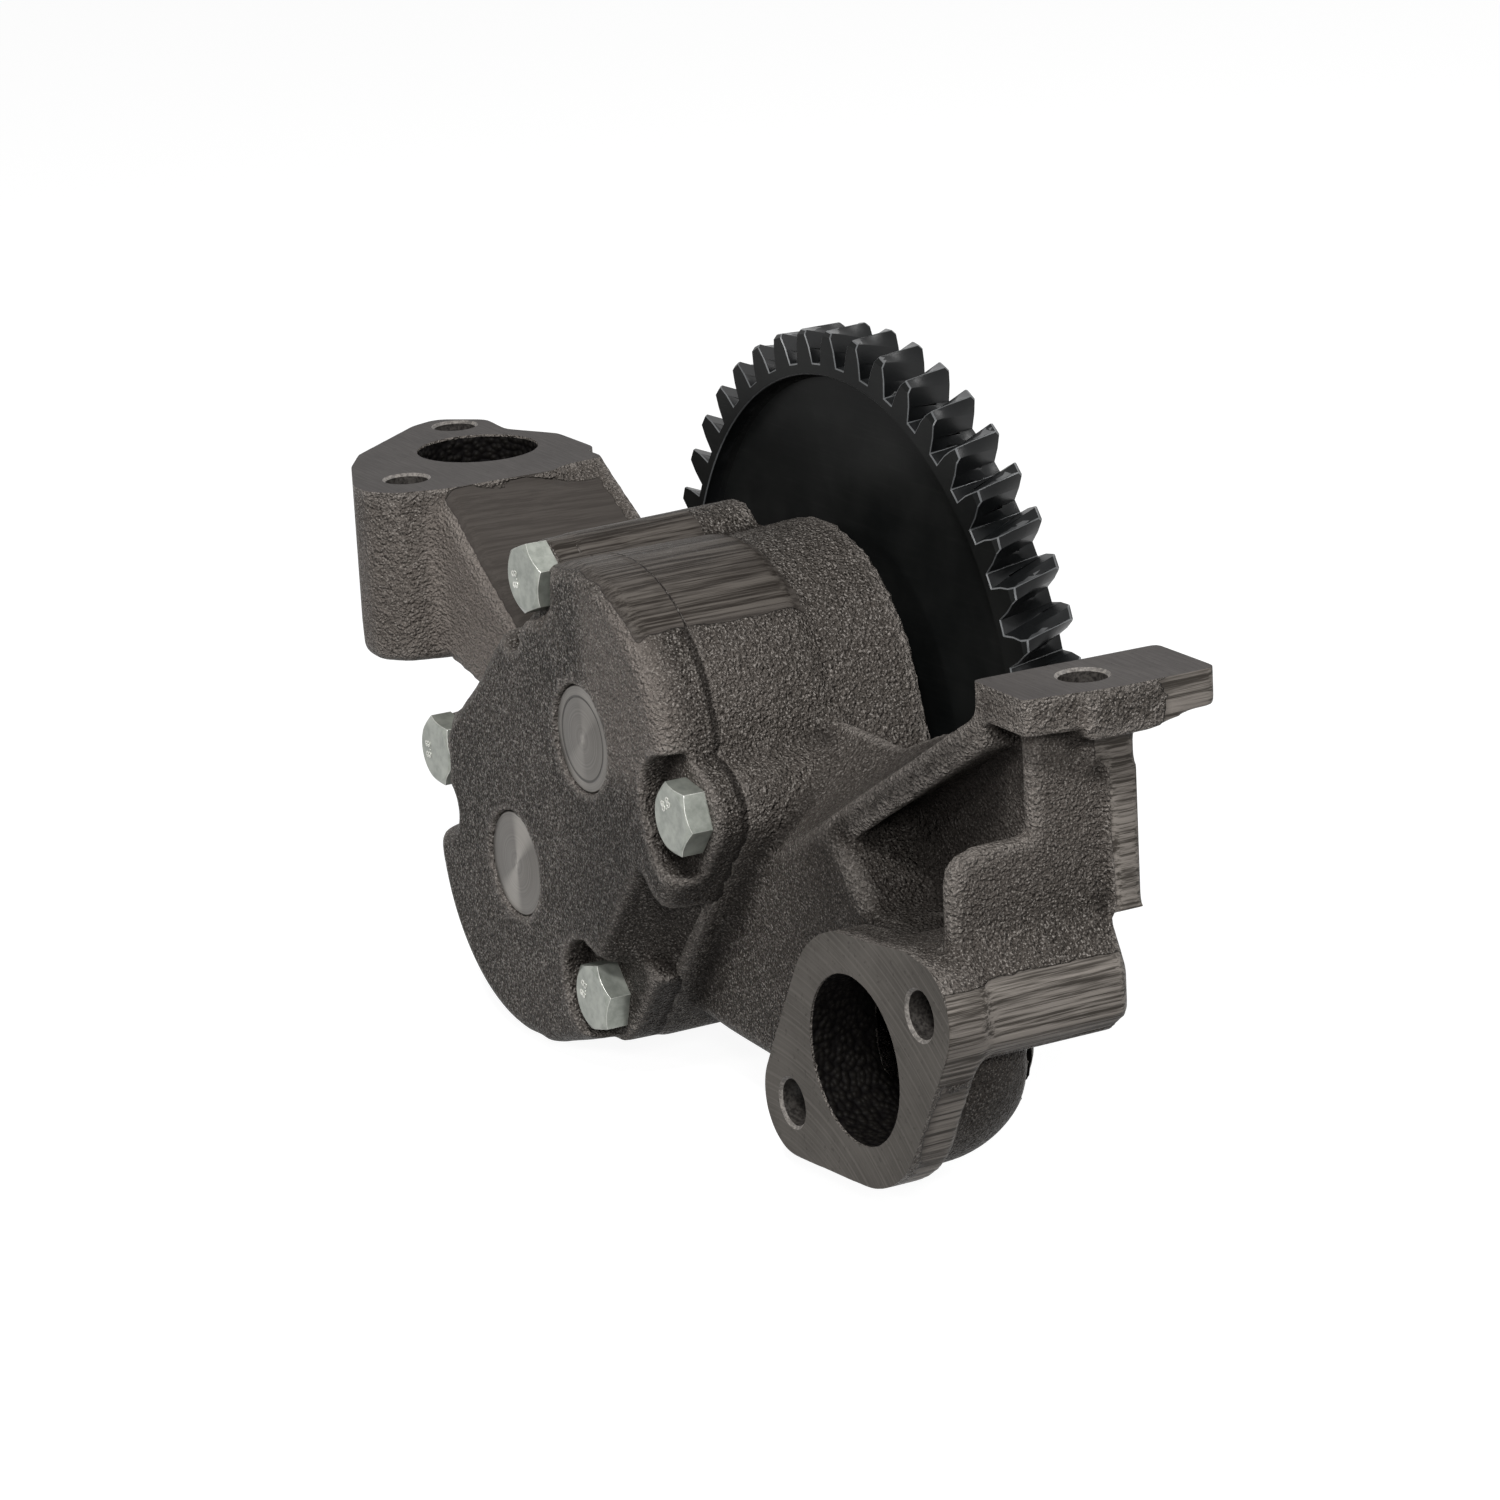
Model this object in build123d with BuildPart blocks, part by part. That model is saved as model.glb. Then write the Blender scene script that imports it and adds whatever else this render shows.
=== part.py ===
from build123d import *
from math import acos, cos, hypot, pi, radians, sin, tan
import os

os.makedirs("parts", exist_ok=True)

# Driving sizes in mm. The origin is the centre of the discharge port in the upper mounting face,
# +Z up out of the port, +Y along the shafts towards the drive gear, +X towards the suction side.

# Drive shaft axis and cover face, from the discharge port
DRIVE_X = 125.0
DRIVE_Z = -30.0
COVER_Y = -42.0

# Pump gears
CENTRE_DISTANCE = 47.6
CENTRE_ANGLE = 225.7
PUMP_TEETH = 12
PUMP_PRESSURE_ANGLE = 25.0
BACKLASH = 0.2
TIP_CLEARANCE = 0.12
END_PLAY = 0.05
CHAMBER_DEPTH = 26.0

# Shafts
SHAFT_RADIUS = 11.0
SHAFT_RUNNING = 0.04
SHAFT_RECESS = 0.7
BUSH_RADIUS = 13.5
FIT_GAP = 0.015

# Cover and body
COVER_THICK = 13.0
BODY_DEPTH = 24.0
REAR_PLATE = 9.0
PLATE_STEP = 3.5
DRIVE_OUTER = 35.2
IDLER_OUTER = 37.3
LUG_LEFT = 7.4
LUG_RIGHT = 9.0
LUG_LOWER = 10.2
LUG_BODY = 11.0
COVER_EDGE = 3.5
BOSS_RADIUS = 35.0
BOSS_LENGTH = 21.0

# Cover bolts, M8 with plain hexagon heads, and dowels
BOLT_RADIUS = 4.0
BOLT_ACROSS_FLATS = 13.0
BOLT_HEAD = 5.3
BOLT_SEAT = 6.0
BOLT_GRIP = 18.0
BOLT_HOLE = 4.5
BOLT_1 = (-22.5, 28.0)
BOLT_2 = (-69.0, -18.4)
BOLT_3 = (35.4, -8.1)
BOLT_4 = (-3.4, -54.9)
DOWEL_RADIUS = 2.5
DOWEL_LENGTH = 12.0
DOWEL_1 = (30.0, -21.0)
DOWEL_2 = (-53.0, -8.5)

# Drive gear
GEAR_TEETH = 44
GEAR_TIP = 72.65
GEAR_ROOT = 65.8
GEAR_WIDTH = 12.4
GEAR_HELIX = 21.8
GEAR_TURN = 1.7
GEAR_CHAMFER = 1.0
GEAR_GAP = 3.2
RIM_INNER = 63.5
WEB_SET_BACK = 4.0
WEB_THICK = 4.6
HUB_RADIUS = 19.0
HUB_REAR = 4.0
KEY_WIDTH = 6.0
KEY_HEIGHT = 6.0
PUMP_KEY = 5.0
PUMP_KEY_LENGTH = 18.0
HUB_RUNNING = 0.3
THREAD_RADIUS = 8.0
THREAD_LENGTH = 13.5
NUT_ACROSS_FLATS = 24.0
NUT_HEIGHT = 9.0
WASHER_THICK = 2.5
WASHER_RADIUS = 15.0

# Upper mounting face, discharge flange and arm
MOUNT_Z = 30.0
PORT_RADIUS = 13.3
FLANGE_HOLE = 4.5
HOLE_A = (-109.5, 17.3)
HOLE_B = (-148.6, 48.1)
BLOCK_HEIGHT = 37.8
WEB_FRONT_Y = 17.7
WEB_REAR_Y = 59.8
DUCT_Y = 22.0
DUCT_WIDTH = 16.0
DISCHARGE_DUCT_HEIGHT = 9.5

# Relief valve under the discharge port
PORT_DEPTH = 16.0
VALVE_RADIUS = 6.5
VALVE_RUNNING = 0.05
VALVE_SEAT_RADIUS = 4.2
VALVE_SEAT_THICK = 1.7
VALVE_LENGTH = 7.0
VALVE_BOSS_RADIUS = 10.5
VALVE_BOSS_DROP = 5.0
VALVE_OUTLET = 2.0
PLUG_LENGTH = 6.0
PLUG_SOCKET = 8.0
SPRING_RADIUS = 4.6
SPRING_WIRE = 0.6
SPRING_TURNS = 4.5

# Suction flange and elbow
SUCTION_X = 91.5
SUCTION_Z = -42.4
SUCTION_Y = 7.0
SUCTION_RADIUS = 16.5
ELBOW_OUTER = 22.4
ELBOW_Y = 20.0
SUCTION_HOLE = 4.5
SUCTION_HALF_X = 24.7
SUCTION_HALF_Z = 15.65
DUCT_FRONT_Y = 18.0
DUCT_REAR_Y = 43.0
SUCTION_DUCT_HEIGHT = 23.0
FLANGE_THICK = 8.5

# Arm, post and right mounting pad
PAD_THICK = 7.4
PAD_X0 = 104.5
PAD_X1 = 122.0
PAD_X2 = 125.2
PAD_Y0 = 28.0
PAD_STEP_Y = 47.0
PAD_Y1 = 67.5
PAD_HOLE = (114.3, 45.5)
SIDE_X = 118.0
WALL_THICK = 4.5
WALL_REAR_Y = 47.4
RAIL_X = 125.0

# Positions that follow from the sizes
IDLER_X = CENTRE_DISTANCE * cos(radians(CENTRE_ANGLE))
IDLER_Z = CENTRE_DISTANCE * sin(radians(CENTRE_ANGLE))
IDLER_BOSS_Y_BACK = 4.0
PITCH_RADIUS = CENTRE_DISTANCE / 2
MODULE = CENTRE_DISTANCE / PUMP_TEETH
PUMP_TIP = PITCH_RADIUS + MODULE
PUMP_ROOT = PITCH_RADIUS - 1.25 * MODULE
CHAMBER_RADIUS = PUMP_TIP + TIP_CLEARANCE
JOINT_Y = COVER_THICK
CREASE_Y = JOINT_Y + BODY_DEPTH
CHAMBER_Y = JOINT_Y + CHAMBER_DEPTH
PLATE_Y = CHAMBER_Y + REAR_PLATE
BOSS_Y = CREASE_Y + BOSS_LENGTH
GEAR_Y = BOSS_Y + GEAR_GAP
GEAR_BACK_Y = GEAR_Y + GEAR_WIDTH
HUB_END_Y = GEAR_BACK_Y + HUB_REAR
THREAD_END_Y = HUB_END_Y + THREAD_LENGTH
BLOCK_BOTTOM = MOUNT_Z - BLOCK_HEIGHT
PLUG_Z = BLOCK_BOTTOM - VALVE_BOSS_DROP
SEAT_Z = MOUNT_Z - PORT_DEPTH - VALVE_SEAT_THICK
PORT = (-DRIVE_X, -COVER_Y)
ALL_BOLTS = (BOLT_1, BOLT_2, BOLT_3, BOLT_4)
ALL_DOWELS = (DOWEL_1, DOWEL_2)


def facing(y, x=0.0, z=0.0):
    # Plane square to the shafts, y behind the cover face, drawn in X and Z from the drive shaft
    return Plane(origin=(DRIVE_X + x, COVER_Y + y, DRIVE_Z + z), x_dir=(1, 0, 0), z_dir=(0, -1, 0))


def level(z, x=0.0, y=0.0):
    # Level plane, drawn in X and Y from the drive shaft and the cover face
    return Plane(origin=(DRIVE_X + x, COVER_Y + y, DRIVE_Z + z))


def side(x):
    # Plane square to X, drawn in Y and Z
    return Plane(origin=(DRIVE_X + x, COVER_Y, DRIVE_Z), x_dir=(0, 1, 0), z_dir=(1, 0, 0))


def slab(y0, y1, points, round_to=0.0):
    # Plate between two depths with a straight-sided outline in X and Z
    with BuildPart() as plate:
        with BuildSketch(facing(y1)) as outline:
            with BuildLine():
                Polyline(*points, close=True)
            make_face()
            if round_to > 0:
                fillet(outline.vertices(), round_to)
        extrude(amount=y1 - y0)
    return plate


def round_front(plate, radius):
    # Round the edges of a plate's face that looks forward
    with BuildPart() as rounded:
        add(plate.part)
        fillet(rounded.faces().filter_by(Axis.Y).sort_by(Axis.Y)[0].edges(), radius)
    return rounded


def involute(angle):
    return tan(angle) - angle


def pump_gear_points(turn):
    # Outline of a spur pump gear: involute flanks, plain tips and roots
    pressure = radians(PUMP_PRESSURE_ANGLE)
    base = PITCH_RADIUS * cos(pressure)
    half_pitch = pi / (2 * PUMP_TEETH) - BACKLASH / (4 * PITCH_RADIUS)
    points = []
    for tooth in range(PUMP_TEETH):
        middle = radians(turn) + tooth * 2 * pi / PUMP_TEETH
        flank = []
        for step in range(6):
            radius = base + (PUMP_TIP - base) * step / 5
            half = half_pitch + involute(pressure) - involute(acos(base / radius))
            flank.append((radius, half))
        root_half = flank[0][1]
        points.append((PUMP_ROOT, middle - root_half))
        for radius, half in flank:
            points.append((radius, middle - half))
        for radius, half in reversed(flank):
            points.append((radius, middle + half))
        points.append((PUMP_ROOT, middle + root_half))
    return [(r * cos(a), r * sin(a)) for r, a in points]


def right_edge():
    # Straight side between the two right-hand bolts, and down to the idler side
    run = (BOLT_3[0] - BOLT_4[0], BOLT_3[1] - BOLT_4[1])
    size = hypot(*run)
    out = (run[1] / size * LUG_RIGHT, -run[0] / size * LUG_RIGHT)
    return [
        (0, DRIVE_OUTER - 9.0),
        (BOLT_3[0] + 1.0, BOLT_3[1] + LUG_RIGHT - 0.4),
        (BOLT_3[0] + out[0], BOLT_3[1] + out[1]),
        (BOLT_4[0] + out[0] * LUG_LOWER / LUG_RIGHT, BOLT_4[1] + out[1] * LUG_LOWER / LUG_RIGHT),
        (BOLT_4[0] - 1.5, BOLT_4[1] - LUG_LOWER + 0.1),
        (IDLER_X + 8.0, IDLER_Z - IDLER_OUTER - 0.1),
        (IDLER_X, IDLER_Z),
    ]


# Outline that the cover and the body share at their joint, seen from the front
with BuildSketch() as joint_outline:
    Circle(DRIVE_OUTER)
    with Locations((IDLER_X, IDLER_Z)):
        Circle(IDLER_OUTER)
    with BuildLine():
        Polyline(*right_edge(), close=True)
    make_face()
    with BuildLine():
        Polyline(
            (-14.0, 20.0),
            (-27.0, 21.5),
            (-38.5, 11.5),
            (-47.5, 2.3),
            (-61.8, -9.5),
            (-66.0, -24.0),
            (-58.0, -32.0),
            (-30.0, -20.0),
            close=True,
        )
    make_face()
    with Locations(BOLT_1, BOLT_2):
        Circle(LUG_LEFT)
    with Locations(BOLT_3):
        Circle(LUG_RIGHT)
    with Locations(BOLT_4):
        Circle(LUG_LOWER)
    with Locations((-65.5, -29.4)):
        Circle(4.4, mode=Mode.SUBTRACT)
    offset(amount=3.0, kind=Kind.ARC)
    offset(amount=-7.5, kind=Kind.ARC)
    offset(amount=4.5, kind=Kind.ARC)

# The same outline as even steps along its edge, each with its inward direction
OUTLINE_STEPS = 96
outline_wire = joint_outline.sketch.faces()[0].outer_wire()
outline_points = []
for step in range(OUTLINE_STEPS):
    spot = outline_wire.position_at(step / OUTLINE_STEPS)
    along = outline_wire.tangent_at(step / OUTLINE_STEPS)
    outline_points.append((spot.X, spot.Y, -along.Y, along.X))
turning = sum(
    outline_points[i - 1][0] * outline_points[i][1] - outline_points[i][0] * outline_points[i - 1][1]
    for i in range(OUTLINE_STEPS)
)
if turning < 0:
    outline_points = [(x, z, -u, -w) for x, z, u, w in reversed(outline_points)]


def body_section(y, inset):
    # The joint outline drawn at a depth, with its edge moved inwards
    with BuildSketch(facing(y)) as section:
        with BuildLine():
            Spline(*[(x + u * inset, z + w * inset) for x, z, u, w in outline_points], periodic=True)
        make_face()
    return section.sketch


# Cover
with BuildPart() as cover:
    for depth, inset in ((1.0, 0.0), (0.31, 0.25), (0.12, 1.0), (0.035, 2.2), (0.0, COVER_EDGE)):
        add(body_section(COVER_THICK * depth, inset))
    loft(ruled=True)
    with BuildSketch(facing(BOLT_SEAT)):
        with Locations(BOLT_1):
            Circle(8.4)
        with Locations(BOLT_2):
            Circle(8.2)
        with Locations((-29.0, 16.5)):
            Circle(4.6)
        with BuildLine():
            Polyline((-36, 24), (-29, 36), (-14, 40), (-20, 24), (-25, 15), close=True)
        make_face()
        with BuildLine():
            Polyline((-80, -8), (-64, -9), (-64, -27), (-80, -27), close=True)
        make_face()
    extrude(amount=BOLT_SEAT + 1, mode=Mode.SUBTRACT)
    with BuildSketch(facing(BOLT_SEAT)):
        with Locations(BOLT_3, (BOLT_3[0] - 1.2, BOLT_3[1] + 2.4), (BOLT_3[0] + 0.8, BOLT_3[1] - 3.0)):
            Circle(9.8)
        with BuildLine():
            Polyline(BOLT_3, (60, -3), (60, -26), close=True)
        make_face()
    extrude(amount=BOLT_SEAT + 1, mode=Mode.SUBTRACT)
    with BuildSketch(facing(BOLT_SEAT)):
        with Locations(BOLT_4, (BOLT_4[0] - 1.0, BOLT_4[1] + 2.4)):
            Circle(9.2)
        with BuildLine():
            Polyline(BOLT_4, (2.0, -46.5), (20, -44), (20, -80), (-10, -80), close=True)
        make_face()
    extrude(amount=BOLT_SEAT + 1, mode=Mode.SUBTRACT)
    # Slope that clears the first bolt's head on its right
    with BuildSketch(facing(2.8)):
        with BuildLine():
            Polyline((-22, 22.0), (-15.5, 22.5), (-12.8, 26), (-12, 36), (-24, 38), close=True)
        make_face()
    extrude(amount=4.0, taper=-50, mode=Mode.SUBTRACT)
    with BuildSketch(facing(JOINT_Y + 1)):
        with Locations((0, 0), (IDLER_X, IDLER_Z)):
            Circle(SHAFT_RADIUS + SHAFT_RUNNING)
        with Locations(*ALL_BOLTS):
            Circle(BOLT_HOLE)
    extrude(amount=COVER_THICK + 2, mode=Mode.SUBTRACT)
    with BuildSketch(facing(JOINT_Y)):
        with Locations(*ALL_DOWELS):
            Circle(DOWEL_RADIUS + FIT_GAP)
    extrude(amount=DOWEL_LENGTH / 2 + 0.3, mode=Mode.SUBTRACT)

# Body of the pump: block, rear plate, bearing boss and the long bolt column
with BuildPart() as body:
    with BuildSketch(facing(CREASE_Y)):
        add(joint_outline.sketch)
    extrude(amount=BODY_DEPTH)
    with BuildSketch(facing(CREASE_Y)):
        with Locations((BOLT_4[0] - 1.0, BOLT_4[1])):
            Circle(LUG_BODY)
    extrude(amount=CREASE_Y - JOINT_Y - 2.0)
    with BuildSketch(facing(PLATE_Y)):
        add(joint_outline.sketch)
        offset(amount=-PLATE_STEP, kind=Kind.ARC)
    extrude(amount=PLATE_Y - CREASE_Y)
    with BuildSketch(facing(BOSS_Y)):
        Circle(BOSS_RADIUS + 0.4)
        with Locations((32.5, -9.0)):
            Circle(8.0)
        make_hull()
    with BuildSketch(facing(CREASE_Y)):
        Circle(BOSS_RADIUS - 1.0)
        with Locations((32.0, -9.0)):
            Circle(7.5)
        make_hull()
    loft()
    with BuildSketch(facing(BOSS_Y - 7.0)):
        with Locations(BOLT_1):
            Circle(8.4)
    with BuildSketch(facing(JOINT_Y)):
        with Locations(BOLT_1):
            Circle(7.6)
    loft()
    with BuildSketch(facing(BOSS_Y - IDLER_BOSS_Y_BACK)):
        with Locations((IDLER_X, IDLER_Z)):
            Circle(BUSH_RADIUS + 6.5)
    extrude(amount=BOSS_Y - IDLER_BOSS_Y_BACK - CHAMBER_Y)

# Discharge block under the upper mounting face
with BuildPart() as block:
    with BuildSketch(level(MOUNT_Z)) as block_outline:
        with BuildLine():
            Polyline(
                (-111.0, 5.4),
                (-104.5, 5.0),
                (-98.6, 9.6),
                (-95.6, 19.0),
                (-94.8, 45.0),
                (-108.6, 62.4),
                (-126.0, 62.4),
                (-138.0, 55.4),
                (-149.5, 56.4),
                (-157.3, 47.5),
                (-154.5, 40.5),
                (-137.0, 18.9),
                (-127.4, 12.6),
                close=True,
            )
        make_face()
        fillet(block_outline.vertices(), 4.0)
    extrude(amount=-BLOCK_HEIGHT)
    fillet(block.faces().sort_by(Axis.Z)[0].edges(), 3.0)
    with BuildSketch(level(PLUG_Z)):
        with Locations(PORT):
            Circle(VALVE_BOSS_RADIUS)
    extrude(amount=VALVE_BOSS_DROP + 4.0)

# Web from the discharge block down to the body; its top twists, so that it leaves the face along its edge
WEB_FRONT_SLOPE = 0.742
WEB_REAR_SLOPE = 0.55


def web_section(y, start, slope):
    with BuildSketch(facing(y)) as section:
        with BuildLine():
            Polyline(
                (start - 3.0, MOUNT_Z - 0.2),
                (start, MOUNT_Z - 0.2),
                (-44.0, MOUNT_Z - 0.2 - slope * (-44.0 - start)),
                (-30.0, -10.0),
                (-44.0, -20.0),
                (-66.0, -14.0),
                (-86.0, BLOCK_BOTTOM - 0.8),
                (-95.0, BLOCK_BOTTOM + 0.9),
                (start - 3.0, BLOCK_BOTTOM + 0.9),
                close=True,
            )
        make_face()
    return section.sketch


with BuildPart() as web:
    add(web_section(WEB_REAR_Y, -101.5, WEB_REAR_SLOPE))
    add(web_section(WEB_FRONT_Y, -95.0, WEB_FRONT_SLOPE))
    loft(ruled=True)
    web_ridges = web.edges().filter_by(lambda e: abs(e.tangent_at(0.5).X) > 0.7 and e.length > 40)
    fillet(web_ridges.group_by(Axis.Y)[0], 4.0)

# Suction duct between the body and the elbow
duct = round_front(
    slab(
        DUCT_FRONT_Y,
        DUCT_REAR_Y,
        [
            (-6.0, -57.5),
            (20.0, -59.5),
            (84.0, -62.0),
            (92.0, -40.0),
            (88.0, -20.0),
            (80.0, -19.0),
            (69.5, -8.0),
            (64.0, -4.5),
            (43.0, -15.0),
            (20.0, -17.0),
        ],
        2.5,
    ),
    3.0,
)

# Elbow behind the suction flange: a round boss with a domed end
with BuildPart() as elbow:
    with BuildSketch(Plane(origin=(DRIVE_X + SUCTION_X, COVER_Y, DRIVE_Z + SUCTION_Z))):
        with BuildLine():
            Line((0, SUCTION_Y), (ELBOW_OUTER, SUCTION_Y))
            Line((ELBOW_OUTER, SUCTION_Y), (ELBOW_OUTER, ELBOW_Y))
            RadiusArc((ELBOW_OUTER, ELBOW_Y), (0, ELBOW_Y + ELBOW_OUTER), -ELBOW_OUTER)
            Line((0, ELBOW_Y + ELBOW_OUTER), (0, SUCTION_Y))
        make_face()
    revolve(axis=Axis((DRIVE_X + SUCTION_X, COVER_Y, DRIVE_Z + SUCTION_Z), (0, 1, 0)))

# Suction flange
with BuildPart() as flange:
    with BuildSketch(facing(SUCTION_Y + FLANGE_THICK, SUCTION_X, SUCTION_Z)):
        Circle(24.4)
        with Locations((SUCTION_HALF_X, SUCTION_HALF_Z), (-SUCTION_HALF_X, -SUCTION_HALF_Z)):
            Circle(10.6)
        make_hull()
    extrude(amount=FLANGE_THICK)

# Side wall, rail and post on the right
rail = slab(
    SUCTION_Y,
    45.5,
    [(98.0, -17.5), (112.0, -15.6), (120.0, -17.0), (RAIL_X, -22.5), (RAIL_X + 0.3, -32.0), (121.0, -36.3),
     (98.0, -36.9)],
    2.2,
)
wall = round_front(
    slab(
        13.6,
        WALL_REAR_Y,
        [(SIDE_X - WALL_THICK, -30.0), (SIDE_X - WALL_THICK, 2.4), (SIDE_X, 2.4), (SIDE_X, -13.0),
         (SIDE_X + 2.5, -18.0), (SIDE_X + 5.5, -24.0), (SIDE_X + 5.5, -33.0)],
    ),
    2.0,
)
with BuildPart() as post:
    with BuildSketch(level(-13.5)):
        with BuildLine():
            Polyline(
                (SIDE_X - WALL_THICK, 31.5),
                (SIDE_X, 31.5),
                (SIDE_X, 50.0),
                (104.6, 50.0),
                (104.6, 36.0),
                (SIDE_X - WALL_THICK, 36.0),
                close=True,
            )
        make_face()
    extrude(amount=38.5)
    fillet(post.edges().filter_by(Axis.Z).sort_by(Axis.Y)[0:2], 2.0)
    add(
        slab(
            47.0,
            53.0,
            [(108.0, 25.0), (SIDE_X + 1.6, 25.0), (SIDE_X + 3.0, -14.0), (108.0, -14.0)],
        ).part
    )

# Pad with the right-hand part of the upper mounting face
with BuildPart() as pad:
    with BuildSketch(level(MOUNT_Z)):
        with BuildLine():
            Polyline(
                (PAD_X0, PAD_Y0),
                (PAD_X1, PAD_Y0),
                (PAD_X2, PAD_STEP_Y),
                (PAD_X2, PAD_Y1),
                (PAD_X0 + 1.0, PAD_Y1),
                close=True,
            )
        make_face()
    extrude(amount=-PAD_THICK)
    with BuildSketch(side(PAD_X0)):
        with BuildLine():
            Polyline(
                (40.0, MOUNT_Z - 2.0),
                (PAD_Y1, MOUNT_Z - 2.0),
                (PAD_Y1, MOUNT_Z - 6.2),
                (53.0, MOUNT_Z - 9.6),
                (40.0, MOUNT_Z - 9.6),
                close=True,
            )
        make_face()
    extrude(amount=PAD_X2 - PAD_X0)
    fillet(pad.edges().filter_by(Axis.Z).sort_by(Axis.Y)[-2:], 1.5)

# Arm from the duct up to the pad: sloping top bar, rear web and the valley beside the body
with BuildPart() as arm:
    with BuildSketch(side(58.0)):
        with BuildLine():
            Polyline((18.4, -8.6), (39.0, 4.6), (39.0, -4.0), (18.4, -16.0), close=True)
        make_face()
    with BuildSketch(side(PAD_X0 + 3.0)):
        with BuildLine():
            Polyline((PAD_Y0, 25.2), (48.0, 25.2), (48.0, 17.5), (PAD_Y0, 17.5), close=True)
        make_face()
    loft(ruled=True)
    with BuildSketch(side(30.0)):
        with BuildLine():
            Polyline((20.0, -20.0), (39.0, 5.4), (39.0, -30.0), (20.0, -30.0), close=True)
        make_face()
    with BuildSketch(side(66.0)):
        with BuildLine():
            Polyline((19.5, -4.6), (39.0, 5.4), (39.0, -16.0), (19.5, -16.0), close=True)
        make_face()
    loft(ruled=True)
    add(
        slab(
            36.0,
            DUCT_REAR_Y,
            [(55.0, -40.0), (55.0, 2.0), (66.0, 3.0), (106.0, 22.0), (115.0, 22.0), (115.0, -30.0)],
        ).part
    )

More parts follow.
